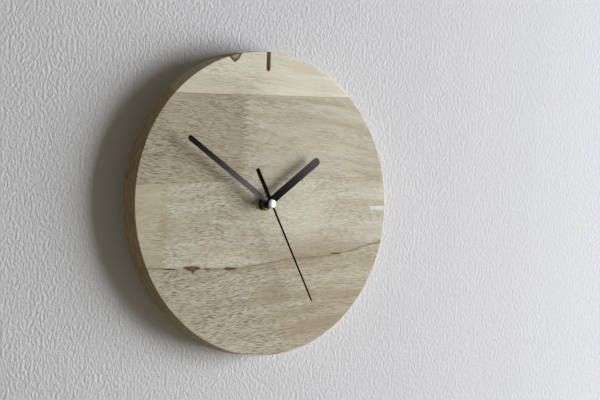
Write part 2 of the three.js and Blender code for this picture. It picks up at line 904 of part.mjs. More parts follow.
function hourWheel() {
  const disk = slab(
    toothedOutline(hourPair.wheel, hourPair.module, wheelToothShares, hourWheelPhase, shaftAt),
    hourWheelBack,
    hourWheelFront,
  );
  const pipe = ring(0, hourPipe.diameter / 2, hourWheelBack, hourPipeFront, sides.large);
  const bore = ring(
    0,
    minutePipe.diameter / 2 + fit.running,
    hourWheelBack - fit.overrun,
    hourPipeFront + fit.overrun,
    sides.medium,
  );
  return cut(join(disk, pipe), bore);
}

// The knob's edge has shallow lobes for the finger, and a dish in its back.
function settingKnob() {
  const count = knob.lobes * sides.lobe;
  const rim = Array.from({ length: count }, (_, i) => {
    const angle = (2 * Math.PI * i) / count;
    const radius = knob.diameter / 2 - (knob.lobeDepth * (1 - Math.cos(knob.lobes * angle))) / 2;
    const [x, y] = settingAt;
    return new THREE.Vector2(x + radius * Math.cos(angle), y + radius * Math.sin(angle));
  });
  const knobFront = wellFloorBack - fit.loose;
  const knobBack = knobFront - knob.thickness;
  const leaves = pinion(settingPinionTeeth, motionPair.module, settingPhase, settingAt, motionWheelBack);
  const leafBack = motionWheelBack - (train.pinionLength - train.wheelThickness) / 2;
  const dishFloor = knobBack + knob.dishDepth;
  const dish = ring(0, knob.dishDiameter / 2, knobBack - fit.overrun, dishFloor, sides.medium, settingAt);
  return cut(
    join(
      slab(rim, knobBack, knobFront),
      ring(0, knob.arbor / 2, knobFront - fit.seated, leafBack + fit.seated, sides.small, settingAt),
      leaves,
      arbor(train.arbor, settingAt, leafBack, plateInside + train.pivotDepth - fit.running),
    ),
    dish,
  );
}

// The motor: iron, coil and electronics.

const coreBack = statorBack - stator.thickness;
const coreAxis = (statorBack + coreBack) / 2;

function statorIron() {
  const [x, y] = rotorAt;
  const hole = magnet.diameter / 2 + stator.airGap;
  const top = coil.rise + stator.armOverrun;
  const foot = y - stator.barHalfHeight;
  const barTop = y + stator.barHalfHeight;
  const outline = [
    new THREE.Vector2(-stator.leftReach, foot),
    new THREE.Vector2(stator.rightReach, foot),
    new THREE.Vector2(stator.rightReach, top),
    new THREE.Vector2(stator.rightReach - stator.armWidth, top),
    new THREE.Vector2(stator.rightReach - stator.armWidth, barTop),
    new THREE.Vector2(-stator.leftReach + stator.armWidth, barTop),
    new THREE.Vector2(-stator.leftReach + stator.armWidth, top),
    new THREE.Vector2(-stator.leftReach, top),
  ];
  const pegHole = stator.pegDiameter / 2 + fit.seated;
  const pegHoles = statorPegPlaces.map((at) =>
    ring(0, pegHole, statorBack - fit.overrun, statorFront + fit.overrun, sides.small, at),
  );
  return cut(
    join(
      slab(outline, statorBack, statorFront),
      ring(0, hole + stator.ringWidth, statorBack, statorFront, sides.medium, [x, y]),
    ),
    ring(0, hole, statorBack - fit.overrun, statorFront + fit.overrun, sides.medium, [x, y]),
    ...pegHoles,
  );
}

function coilCore() {
  const half = stator.coreWidth / 2;
  const outline = rectangle(-stator.leftReach, stator.rightReach, coil.rise - half, coil.rise + half);
  const pegHole = stator.pegDiameter / 2 + fit.seated;
  const holes = statorPegPlaces.map((at) => circlePoints(pegHole, sides.small, at));
  return slab(outline, coreBack, statorBack, holes);
}

const coilLeft = -stator.leftReach + stator.armWidth + coil.endPlay;
const coilRight = stator.rightReach - stator.armWidth - coil.endPlay;

// A profile of [radius, x] pairs turned about the coil's own axis.
function turnedOnCoil(profile) {
  const points = [...profile, profile[0]].map(([radius, along]) => new THREE.Vector2(radius, along));
  const geometry = new THREE.LatheGeometry(points, sides.medium);
  geometry.rotateZ(-Math.PI / 2);
  geometry.translate(0, coil.rise, coreAxis);
  return geometry;
}

function coilBobbin() {
  const barrel = coil.barrelDiameter / 2;
  const flange = coil.flangeDiameter / 2;
  const spool = turnedOnCoil([
    [0, coilLeft],
    [flange, coilLeft],
    [flange, coilLeft + coil.flangeThickness],
    [barrel, coilLeft + coil.flangeThickness],
    [barrel, coilRight - coil.flangeThickness],
    [flange, coilRight - coil.flangeThickness],
    [flange, coilRight],
    [0, coilRight],
  ]);
  const half = stator.coreWidth / 2 + fit.seated;
  const bore = slab(
    rectangle(coilLeft - fit.overrun, coilRight + fit.overrun, coil.rise - half, coil.rise + half),
    coreBack - fit.seated,
    statorBack + fit.seated,
  );
  return cut(solid(spool), bore);
}

function coilWinding() {
  const barrel = coil.barrelDiameter / 2 + fit.seated;
  const from = coilLeft + coil.flangeThickness + fit.seated;
  const to = coilRight - coil.flangeThickness - fit.seated;
  const outer = coil.windingDiameter / 2;
  return turnedOnCoil([[barrel, from], [outer, from], [outer, to], [barrel, to]]);
}

const boardLeft = -chamberSide + 2 * fit.loose;
const boardFoot = chamberFoot + 2 * fit.loose;
const boardBack = bridgeBack - board.thickness;

function circuitBoard() {
  return slab(
    rectangle(boardLeft, boardLeft + board.width, boardFoot, boardFoot + board.height),
    boardBack,
    bridgeBack,
  );
}

// The resin blob's profile as shares of its radius and of its height.
const chipShares = [
  [0, 1],
  [0.5, 0.9],
  [0.9, 0.33],
  [1, 0],
  [0, 0],
];

function chipCap() {
  const radius = board.chipDiameter / 2;
  const profile = chipShares.map(([out, up]) => [radius * out, boardBack - board.chipHeight * up]);
  return turned(profile, sides.small, [boardLeft + board.width / 2, board.chipRise]);
}

function crystalCan() {
  const radius = board.crystalDiameter / 2;
  const can = new THREE.CylinderGeometry(radius, radius, board.crystalLength, sides.small);
  can.translate(boardLeft + board.width / 2, board.crystalRise, boardBack - radius - fit.seated);
  return can;
}

// A bent strip on edge: the path runs down its middle in the plane of the case.
function strip(path) {
  const half = contact.thickness / 2;
  const across = path.map((point, i) => {
    const before = path[Math.max(i - 1, 0)];
    const after = path[Math.min(i + 1, path.length - 1)];
    const arriving = new THREE.Vector2(...point).sub(new THREE.Vector2(...before)).normalize();
    const leaving = new THREE.Vector2(...after).sub(new THREE.Vector2(...point)).normalize();
    const along = arriving.add(leaving).normalize();
    return new THREE.Vector2(-along.y, along.x).multiplyScalar(half);
  });
  const left = path.map(([x, y], i) => new THREE.Vector2(x, y).add(across[i]));
  const right = path.map(([x, y], i) => new THREE.Vector2(x, y).sub(across[i]));
  return slab([...right, ...left.reverse()], contactBack, contactFront);
}

const contactInset = contact.slotPlay + contact.thickness / 2;
const contactRun = chamberFoot + contact.thickness;
const boardMiddle = boardLeft + board.width / 2;

// The sprung contact bulges towards the flat end of the cell, then runs through its slot to the board.
function negativeContact() {
  const x = -bayHalfLength + contactInset;
  const reach = bayRadius - fit.loose;
  return strip([
    [x, bayAt - reach],
    [x + contact.bulge, bayAt],
    [x, bayAt + reach],
    [x, contactRun],
    [boardMiddle - contact.padTail / 2, contactRun],
    [boardMiddle - contact.padTail / 2, contactRun + contact.padTail],
  ]);
}

function positiveContact() {
  const x = bayHalfLength - contactInset;
  const reach = bayRadius - fit.loose;
  return strip([
    [x, bayAt - reach],
    [x, contactRun],
    [boardMiddle + contact.padTail / 2, contactRun],
    [boardMiddle + contact.padTail / 2, contactRun + contact.padTail],
  ]);
}

// The cell lies along x with its nub towards the right.
function batteryCell() {
  const radius = battery.diameter / 2;
  const nub = battery.nubDiameter / 2;
  const left = -bayHalfLength + contactInset + contact.bulge + contact.thickness;
  const right = left + battery.bodyLength;
  const profile = [
    [0, left],
    [radius - battery.endRim, left],
    [radius, left + battery.endRim],
    [radius, right - battery.endRim],
    [radius - battery.endRim, right],
    [radius - 3 * battery.endRim, right],
    [radius - 3 * battery.endRim, right - battery.endRim],
    [nub, right - battery.endRim],
    [nub, right + battery.nubLength],
    [0, right + battery.nubLength],
  ];
  const points = [...profile, profile[0]].map(([r, along]) => new THREE.Vector2(r, along));
  const geometry = new THREE.LatheGeometry(points, sides.large);
  geometry.rotateZ(-Math.PI / 2);
  geometry.translate(0, bayAt, bayAxis);
  return geometry;
}

// Hands. Each is drawn pointing at twelve and then turned to its direction.

const hourBladeBack = hourPipeFront - fit.loose - hourHand.thickness;
const minuteBladeBack = minutePipeFront - fit.loose - minuteHand.thickness;
const secondBladeBack = secondPinFront - fit.loose - secondHand.thickness;

// A blade with a round tip and a round hub, bored for its collet or pipe.
function blade(hand, back, bore) {
  const half = hand.width / 2;
  const hub = hand.hub / 2;
  const bite = Math.asin(half / hub) / degrees;
  const outline = [
    ...arcPoints([0, 0], hub, 90 + bite, 450 - bite, sides.medium),
    ...arcPoints([0, hand.length - half], half, 0, 180, sides.corner * 2),
  ];
  return slab(outline, back, back + hand.thickness, [circlePoints(bore, sides.medium)]);
}

function hourHandBlade() {
  return blade(hourHand, hourBladeBack, hourPipe.diameter / 2 + fit.seated);
}

function hourHandCollet() {
  const bore = hourPipe.diameter / 2 + fit.seated;
  return ring(bore, hourHand.collet / 2, hourBladeBack - hourHand.colletHeight, hourBladeBack, sides.large);
}

function minuteHandBlade() {
  return blade(minuteHand, minuteBladeBack, minutePipe.diameter / 2 + fit.seated);
}

function minuteHandCollet() {
  const bore = minutePipe.diameter / 2 + fit.seated;
  const back = minuteBladeBack - minuteHand.colletHeight;
  return ring(bore, minuteHand.collet / 2, back, minuteBladeBack, sides.medium);
}

// A thin needle on one side and a wider, shorter counterweight on the other.
function secondHandBlade() {
  const hub = secondHand.hub / 2;
  const half = secondHand.width / 2;
  const tip = secondHand.tipWidth / 2;
  const tail = secondHand.tailWidth / 2;
  const bite = Math.asin(half / hub) / degrees;
  const tailBite = Math.asin(tail / hub) / degrees;
  const outline = [
    ...arcPoints([0, 0], hub, -90 + tailBite, 90 - bite, sides.corner * 2),
    new THREE.Vector2(tip, secondHand.length),
    new THREE.Vector2(-tip, secondHand.length),
    ...arcPoints([0, 0], hub, 90 + bite, 270 - tailBite, sides.corner * 2),
    new THREE.Vector2(-tail, -secondHand.tailLength),
    new THREE.Vector2(tail, -secondHand.tailLength),
  ];
  const bore = circlePoints(secondPin.diameter / 2 + fit.seated, sides.small);
  return slab(outline, secondBladeBack, secondBladeBack + secondHand.thickness, [bore]);
}

function secondHandHub() {
  const bore = secondPin.diameter / 2 + fit.seated;
  const back = secondBladeBack - secondHand.hubTubeHeight;
  return ring(bore, secondHand.hubTube / 2, back, secondBladeBack, sides.medium);
}

// The domed cap covers the end of the pin, which sits in its blind bore.
function secondHandCap() {
  const radius = secondHand.capDiameter / 2;
  const back = secondBladeBack + secondHand.thickness;
  const crown = secondHand.capHeight - secondHand.capEdge;
  const edge = back + secondHand.capEdge;
  const dome = Array.from({ length: sides.corner }, (_, i) => {
    const angle = ((i / sides.corner) * Math.PI) / 2;
    return [radius * Math.cos(angle), edge + crown * Math.sin(angle)];
  });
  const bore = secondPin.diameter / 2 + fit.seated;
  const roof = secondPinFront + fit.seated;
  return turned(
    [[bore, back], [radius, back], ...dome, [0, back + secondHand.capHeight], [0, roof], [bore, roof]],
    sides.medium,
  );
}

function pointing(direction, ...meshes) {
  const group = new THREE.Group();
  group.rotation.z = -direction * degrees;
  group.add(...meshes);
  return group;
}

const clock = new THREE.Group();

clock.add(
  piece("wood_disc", woodDisc(), wood),
  piece("hanger_plate", hangerPlate(), zincSteel),
  piece("hanger_screw_left", hangerScrew(-1), zincSteel),
  piece("hanger_screw_right", hangerScrew(1), zincSteel),
  piece("movement_case", movementCase(), blackPlastic),
  piece("rear_cover", rearCover(), blackPlastic),
  piece("train_bridge", trainBridge(), whitePlastic),
  piece("rubber_gasket", gasketRing(), rubber),
  piece("threaded_bush", threadedBush(), brass),
  piece("washer", washerRing(), brass),
  piece("hex_nut", hexNut(), brass),
);

clock.add(
  piece("rotor_pinion", rotorPinion(), whitePlastic),
  piece("rotor_magnet", rotorMagnet(), ferrite),
  piece("intermediate_wheel", intermediateWheel(), whitePlastic),
  piece("second_wheel", secondWheel(), whitePlastic),
  piece("third_wheel", thirdWheel(), whitePlastic),
  piece("centre_wheel", centreWheel(), whitePlastic),
  piece("cannon_pinion", cannonPinion(), brass),
  piece("motion_wheel", motionWheel(), whitePlastic),
  piece("hour_wheel", hourWheel(), whitePlastic),
  piece("setting_knob", settingKnob(), redPlastic),
);

clock.add(
  piece("stator", statorIron(), siliconSteel),
  piece("coil_core", coilCore(), siliconSteel),
  piece("coil_bobbin", coilBobbin(), whitePlastic),
  piece("coil_winding", coilWinding(), copper),
  piece("circuit_board", circuitBoard(), greenBoard),
  piece("chip_cap", chipCap(), darkResin),
  piece("crystal_can", crystalCan(), nickel),
  piece("negative_contact", negativeContact(), nickel),
  piece("positive_contact", positiveContact(), nickel),
  piece("battery_cell", batteryCell(), sleeve),
);

clock.add(
  pointing(
    hourHand.direction,
    piece("hour_hand", hourHandBlade(), blackMetal),
    piece("hour_hand_collet", hourHandCollet(), blackMetal),
  ),
  pointing(
    minuteHand.direction,
    piece("minute_hand", minuteHandBlade(), blackMetal),
    piece("minute_hand_collet", minuteHandCollet(), blackMetal),
  ),
  pointing(
    secondHand.direction,
    piece("second_hand", secondHandBlade(), blackMetal),
    piece("second_hand_hub", secondHandHub(), blackMetal),
    piece("second_hand_cap", secondHandCap(), polishedSteel),
  ),
);

// Stood upright, with the origin on the wall where the nail carries the neck of the hanger.
clock.rotation.x = Math.PI / 2;
clock.position.z = -(hangerAt + hanger.neckRise);

const upright = new THREE.Group();
upright.add(clock);

export default upright;
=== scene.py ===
import json
import math
from types import SimpleNamespace

import bmesh
import bpy
import numpy as np
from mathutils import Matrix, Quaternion, Vector
from mathutils.geometry import tessellate_polygon


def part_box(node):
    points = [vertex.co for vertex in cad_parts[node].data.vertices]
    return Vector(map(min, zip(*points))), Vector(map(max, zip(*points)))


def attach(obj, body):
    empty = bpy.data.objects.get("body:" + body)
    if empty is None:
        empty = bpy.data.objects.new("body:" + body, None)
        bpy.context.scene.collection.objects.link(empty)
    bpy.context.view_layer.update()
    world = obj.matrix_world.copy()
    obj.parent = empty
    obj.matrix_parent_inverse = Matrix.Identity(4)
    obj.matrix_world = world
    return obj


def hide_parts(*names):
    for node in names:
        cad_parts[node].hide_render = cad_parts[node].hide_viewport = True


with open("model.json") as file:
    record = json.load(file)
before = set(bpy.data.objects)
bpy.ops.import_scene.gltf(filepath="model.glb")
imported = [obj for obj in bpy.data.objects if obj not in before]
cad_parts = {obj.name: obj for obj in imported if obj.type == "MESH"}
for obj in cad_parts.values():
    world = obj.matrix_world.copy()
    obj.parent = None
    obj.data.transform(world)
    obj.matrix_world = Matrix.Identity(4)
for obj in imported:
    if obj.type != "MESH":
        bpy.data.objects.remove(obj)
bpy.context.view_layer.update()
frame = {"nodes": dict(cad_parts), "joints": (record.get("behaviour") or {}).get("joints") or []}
print("frame loaded,", len(frame["nodes"]), "nodes")

mm = 0.001
weldWithin = 0.002 * mm  # corners closer than this become one
joints = {joint["name"]: joint for joint in frame["joints"]}
shaftX, _, shaftZ = (value / mm for value in joints["second_hand_turn"]["pos_m"])
shaft = np.array([shaftX, shaftZ])


def span(node):
    # lowest and highest corner of a CAD node, in millimetres
    low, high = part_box(node)
    return np.array(low) / mm, np.array(high) / mm


# Camera: where the photograph was taken from, as a direction and distance from a point on the face.
photoCamera = {
    "aim": (35.7, -18.0, -89.5),
    "distance": 1886.0,
    "azimuth": -35.64,
    "elevation": -0.787,
    "roll": 1.585,
    "lens": 136.2,
    "clipEnd": 50.0,  # metres
}


def directionTo(azimuth, elevation):
    # unit vector towards a viewer who stands at that azimuth and elevation
    side, rise = math.radians(azimuth), math.radians(elevation)
    return Vector((
        math.sin(side) * math.cos(rise),
        -math.cos(side) * math.cos(rise),
        math.sin(rise),
    ))


def placeCamera(settings):
    # stands off from its aim, looks back at it and rolls about that line
    back = directionTo(settings["azimuth"], settings["elevation"])
    camera = bpy.data.objects.new("photoCamera", bpy.data.cameras.new("photoCamera"))
    bpy.context.scene.collection.objects.link(camera)
    camera.location = (Vector(settings["aim"]) + back * settings["distance"]) * mm
    turn = back.to_track_quat("Z", "Y") @ Quaternion((0, 0, 1), math.radians(settings["roll"]))
    camera.rotation_euler = turn.to_euler()
    camera.data.lens = settings["lens"]
    camera.data.clip_end = settings["clipEnd"]
    bpy.context.scene.camera = camera


placeCamera(photoCamera)
print("camera placed")


# Nodes and finishes.

def shade(code):
    # an sRGB hex value as linear light
    channels = np.array([int(code[i:i + 2], 16) for i in (1, 3, 5)]) / 255
    linear = np.where(channels <= 0.04045, channels / 12.92, ((channels + 0.055) / 1.055) ** 2.4)
    return (*linear.tolist(), 1.0)


def fill(tree, node, inputs):
    # gives a node's inputs a link, a hex colour or a plain value
    for key, value in inputs.items():
        usable = [socket for socket in node.inputs if socket.enabled]
        target = usable[key] if isinstance(key, int) else next(s for s in usable if s.name == key)
        if isinstance(value, bpy.types.Node):
            value = next(socket for socket in value.outputs if socket.enabled)
        if isinstance(value, bpy.types.NodeSocket):
            tree.links.new(value, target)
        else:
            target.default_value = shade(value) if isinstance(value, str) else value


def addNode(tree, kind, inputs=None, stops=None, points=None, **settings):
    # adds one node with its settings, ramp stops or curve points, and links
    node = tree.nodes.new("ShaderNode" + kind)
    for name, value in settings.items():
        setattr(node, name, value)
    if stops:
        ramp = node.color_ramp
        for _ in stops[2:]:
            ramp.elements.new(0.5)
        for element, (place, code) in zip(ramp.elements, stops):
            element.position, element.color = place, shade(code)
    if points:
        curve = node.mapping.curves[0]
        for _ in points[2:]:
            curve.points.new(0.5, 0.5)
        for point, place in zip(curve.points, points):
            point.location = place
        node.mapping.update()
    fill(tree, node, inputs or {})
    return node


def newFinish(name, **uniform):
    # a new material: even values go on its shader at once, add makes its nodes, and dress links them
    material = bpy.data.materials.new(name)
    material.use_nodes = True
    tree = material.node_tree
    surface = tree.nodes["Principled BSDF"]

    def add(kind, inputs=None, **settings):
        return addNode(tree, kind, inputs, **settings)

    def dress(**inputs):
        fill(tree, surface, {key.replace("_", " "): value for key, value in inputs.items()})
        return material

    dress(**uniform)
    return add, dress


def scaledPlace(add, *sizes, centre=(0.0, 0.0, 0.0)):
    # object coordinates from a centre, in units of a pattern's own size in millimetres
    scale = [1 / (size * mm) for size in sizes]
    location = [-middle * mm * factor for middle, factor in zip(centre, scale)]
    source = add("TexCoord").outputs["Object"]
    return add("Mapping", {"Vector": source, "Location": location, "Scale": scale})


def aboutShaft(add):
    # places in millimetres from the shaft, and how far they are from its axis
    place = scaledPlace(add, 1, 1, 1, centre=(shaftX, 0, shaftZ))
    level = add("VectorMath", {0: place, 1: (1.0, 0.0, 1.0)}, operation="MULTIPLY")
    return place, add("VectorMath", {0: level}, operation="LENGTH")


# Shapes: rings of points carried over each other, and flat faces with holes.

def arc(centre, radius, start, end, count):
    # count points on a circle, from one angle in degrees to another
    angles = np.radians(np.linspace(start, end, count))
    return np.array(centre) + radius * np.column_stack([np.cos(angles), np.sin(angles)])


def circle(centre, radius, count):
    # count points round a whole circle, the first one not repeated
    return arc(centre, radius, 0, 360, count + 1)[:-1]


def roundedBox(left, right, foot, top, corner, count=10):
    # a rectangle whose four corners are quarter circles
    middles = [
        (right - corner, foot + corner),
        (right - corner, top - corner),
        (left + corner, top - corner),
        (left + corner, foot + corner),
    ]
    return np.concatenate([
        arc(middle, corner, turn, turn + 90, count)
        for middle, turn in zip(middles, (-90, 0, 90, 180))
    ])


def inset(outline, distance):
    # an outline moved inwards by a distance: each point moves along the mitre of its two sides
    arriving = outline - np.roll(outline, 1, axis=0)
    leaving = np.roll(outline, -1, axis=0) - outline
    normals = [
        np.column_stack([-way[:, 1], way[:, 0]]) / np.linalg.norm(way, axis=1, keepdims=True)
        for way in (arriving, leaving)
    ]
    mitre = normals[0] + normals[1]
    mitre /= 1 + np.sum(normals[0] * normals[1], axis=1, keepdims=True)
    return outline + distance * mitre


def edgeProfile(front, back, radius, steps=4):
    # inset and depth down an edge whose two corners are quarter circles, from the front to the back
    turn = np.radians(np.linspace(0, 90, steps + 1))
    away, down = radius * (1 - np.sin(turn)), radius * (1 - np.cos(turn))
    return list(zip(away, front + down)) + list(zip(away[::-1], back - down[::-1]))


def atDepth(outline, depth):
    # a flat outline in x and z, stood at one depth
    return np.column_stack([outline[:, 0], np.full(len(outline), depth), outline[:, 1]])


def walls(rings):
    # quads between neighbouring rings of equal length; each ring closes on itself
    rings = np.asarray(rings)
    layers, around = rings.shape[:2]
    index = np.arange(layers * around).reshape(layers, around)
    following = np.roll(index, -1, axis=1)
    quads = np.stack([index[:-1], following[:-1], following[1:], index[1:]], axis=-1)
    return rings.reshape(-1, 3), quads.reshape(-1, 4).tolist(), True


def sides(outline, profile):
    # an outline carried along a profile of inset and depth
    return walls([atDepth(inset(outline, away), depth) for away, depth in profile])


def flat(depth, outline, *holes):
    # a flat face with holes, cut into triangles
    loops = [[Vector((x, z, 0)) for x, z in loop] for loop in (outline, *holes)]
    points = atDepth(np.concatenate([outline, *holes]), depth)
    return points, [list(face) for face in tessellate_polygon(loops)], False


def fullTurn(count):
    # count angles round a whole turn, in radians
    return np.linspace(0, 2 * np.pi, count, endpoint=False)


def aboutAxis(centre, radius, depth, angle):
    # a grid of points about an axis along y, each at its radius, depth and angle
    radius, depth, angle = np.broadcast_arrays(radius, depth, angle)
    return np.stack([
        centre[0] + radius * np.cos(angle),
        depth,
        centre[1] + radius * np.sin(angle),
    ], axis=-1)


def turnedRings(profile, count):
    # a profile of radius and depth turned about the shaft
    radius, depth = (np.array(column, float)[:, None] for column in zip(*profile))
    return aboutAxis(shaft, radius, depth, fullTurn(count))


def turned(profile, count=64):
    # the skin between those rings
    return walls(turnedRings(profile, count))


def makePiece(name, patches, body, node, finish, smooth=35.0):
    # joins patches into one closed skin: equal corners merge and every face turns outwards
    mesh = bpy.data.meshes.new(name)
    points, faces, soft, start = [], [], [], 0
    for places, polygons, smoothed in patches:
        points.append(places)
        faces += [[start + corner for corner in polygon] for polygon in polygons]
        soft += [smoothed] * len(polygons)
        start += len(places)
    mesh.from_pydata((np.concatenate(points) * mm).tolist(), [], faces)
    mesh.polygons.foreach_set("use_smooth", soft)
    skin = bmesh.new()
    skin.from_mesh(mesh)
    bmesh.ops.remove_doubles(skin, verts=skin.verts, dist=weldWithin)
    bmesh.ops.recalc_face_normals(skin, faces=skin.faces)
    loose = sum(not edge.is_manifold for edge in skin.edges)
    soft = [face.smooth for face in skin.faces]
    skin.to_mesh(mesh)
    skin.free()
    if loose:
        print("  ", name, "has", loose, "open edges")
    mesh.set_sharp_from_angle(angle=math.radians(smooth))
    mesh.polygons.foreach_set("use_smooth", soft)
    return fit(bpy.data.objects.new(name, mesh), body, node, finish)


def fit(piece, body, node, finish):
    # links a piece, gives it its finish, hangs it on its body and hides its CAD node
    if not piece.users_collection:
        bpy.context.scene.collection.objects.link(piece)
    piece.data.materials.clear()
    piece.data.materials.append(finish)
    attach(piece, body)
    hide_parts(node)
    return piece


# Wood: oiled acacia, glued up from finger-jointed staves and sanded. All places are millimetres on the
# face, across to the right and up from the shaft, and depth runs from the face into the wood.
woodLook = {
    "seams": [(89.0, 0.0305), (19.2, 0.0626)],  # height at the shaft, and rise per millimetre
    "seamLean": 0.3,  # the seams climb towards the back
    "seamWidth": 0.5,
    "seamStrength": 0.35,
    "streak": [(-130, -55), (-90, -55), (-27, -53.6), (0, -49.5), (24, -45.5), (70, -41),
               (118, -29), (130, -26)],  # across and up
    "streakReach": 130.0,
    "streakDrop": 60.0,  # no part of it lies further below the shaft
    "streakLine": 1.0,  # width
    "streakBand": (3.2, 0.15),  # width and strength
    "joints": [(-21.5, 9.0, 4.1), (-97.0, 7.0, 4.1)],  # place across, finger length, pitch
    "jointWidth": 1.1,
    "jointStrengths": (0.75, 0.4),
    "leftwardHalf": 110.0,  # the wood grows darker from this far right of the shaft to as far left
    "staveJump": (61.0, 12.0, 29.0),  # one jump of the grain, as at the second glue line
    "staveSteps": (3.0, 0.35, 1.7, 2.3),  # jumps at the first one, at the streak and at the two joints
    "grainStart": (7.0, 3.6, 11.0),
    "lowClimb": 0.14,  # the lowest board's grain rises so much per millimetre to the right
    "climbEase": 0.08,  # the next one's by so much less, and in the upper boards it falls by this much
    "wanderRise": 18.0,
    "swirlRise": 4.0,
    "rippleRise": 1.7,
    "swirl": ((36.0, -1.0), (22.0, 24.0)),  # middle, then half width and half height
    "rosyPatch": ((36.0, 113.0), (15.0, 5.0)),
    "rimKnot": (-33.4, 121.4),
    "rimKnotRings": (((7.0, 6.8), 0.12), ((5.2, 4.6), 0.3)),  # half width and height, and soft edge
    "rimKnotSide": (-35.0, -15.0),  # between these places across, the rim loses the knot's colour
    "haloShares": (1.3, 1.6),  # a halo's width and height, of its knot's own
    "topBoard": "#C6C5B4",
    "secondLeft": "#A09985",
    "secondRight": "#B2AE9C",
    "thirdLeft": "#B0A991",
    "thirdRight": "#BAB7A6",
    "lowBoard": "#AEA994",
    "grainDark": "#948C76",
    "pore": "#584C37",
    "brownStain": "#887A63",
    "markBrown": "#786951",
    "rosyStain": "#B39A7E",
    "paleSwirl": "#C3C6B2",
    "knotDark": "#33231A",
    "knotHalo": "#8A7150",
    "rimKnotCore": "#6E5F42",
    "endGrain": "#B29B7B",
    "endDark": "#867357",
    "sideGrain": "#B5A688",
}

woodFigures = {  # how far each pattern runs along the grain, into the wood and up, then its detail
    "wander": ((90.0, 50.0, 65.0), 1.5),
    "ripple": ((13.0, 20.0, 7.0), 1.0),
    "tone": ((150.0, 20.0, 9.0), 3.0),
    "lines": ((34.0, 5.0, 1.5), 3.0),
    "pores": ((5.0, 3.0, 0.28), 1.5),
    "crowd": ((55.0, 30.0, 26.0), 1.0),
    "endFigure": ((16.0, 1.7, 9.0), 3.0),
}

woodKnots = [  # middle across and up, half width and half height
    ((-74.5, -53.9), (3.2, 1.2)),
    ((-69.5, -54.6), (4.8, 2.2)),
    ((-68.4, -56.6), (1.3, 1.9)),
    ((-64.0, -54.0), (3.4, 1.1)),
    ((-32.0, -54.0), (6.2, 1.3)),
    ((-91.0, -55.2), (7.5, 0.5)),
    ((-55.0, -54.4), (3.2, 0.6)),
    ((74.0, -39.6), (4.5, 0.6)),
]

woodStains = [  # middle across and up, half width and half height, strength
    ((80.0, -80.0), (80.0, 50.0), 0.75),
    ((9.0, -72.0), (13.0, 11.0), 0.75),
    ((75.0, -74.0), (27.0, 7.0), 0.35),
    ((-65.0, 81.0), (10.0, 5.0), 0.4),
    ((30.0, 86.0), (60.0, 2.6), 0.45),
    ((10.0, 73.0), (34.0, 3.0), 0.3),
    ((-97.5, -20.0), (4.0, 9.0), 0.45),
    ((60.0, -44.0), (62.0, 3.0), 0.35),
    ((108.0, 40.0), (18.0, 26.0), 0.3),
    ((-30.0, 55.0), (9.0, 30.0), 0.25),
]


def softSpot(add, place, middle, reach, edge, wobble, rough, pointed=False):
    # 1 inside an ellipse round a middle, 0 outside, with an edge that a noise pushes in and out.
    # A pointed spot is halfway to a diamond: its distance is the mean of the length and of the plain sum.
    shifted = add("Mapping", {
        "Vector": place,
        "Location": (-middle[0] / reach[0], 0.0, -middle[1] / reach[1]),
        "Scale": (1 / reach[0], 0.0, 1 / reach[1]),
    })
    distance = add("VectorMath", {0: shifted}, operation="LENGTH")
    if pointed:
        corner = add("VectorMath", {0: shifted}, operation="ABSOLUTE")
        corner = add("VectorMath", {0: corner, 1: (1.0, 0.0, 1.0)}, operation="DOT_PRODUCT")
        distance = add("Mix", {"Factor": 0.5, "A": distance, "B": corner})
    ragged = add("Math", {0: rough, 1: wobble, 2: distance}, operation="MULTIPLY_ADD")
    low, high = 1 + wobble / 2 - edge, 1 + wobble / 2 + edge
    return add(
        "MapRange",
        {"Value": ragged, "From Min": low, "From Max": high, "To Min": 1.0, "To Max": 0.0},
        interpolation_type="SMOOTHSTEP",
    )


def thinLine(add, distance, width):
    # 1 on the line where the distance is zero, and 0 past its width
    away = add("Math", {0: distance}, operation="ABSOLUTE")
    limits = {"From Min": width / 2, "From Max": width, "To Min": 1.0, "To Max": 0.0}
    return add("MapRange", {"Value": away, **limits}, interpolation_type="SMOOTHSTEP")


def woodFigure(add, place, name, roughness=0.5):
    # a noise that runs as far each way as its sizes say
    sizes, detail = woodFigures[name]
    stretched = add("Mapping", {"Vector": place, "Scale": [1 / size for size in sizes]})
    return add("TexNoise", {"Vector": stretched, "Scale": 1.0, "Detail": detail, "Roughness": roughness})


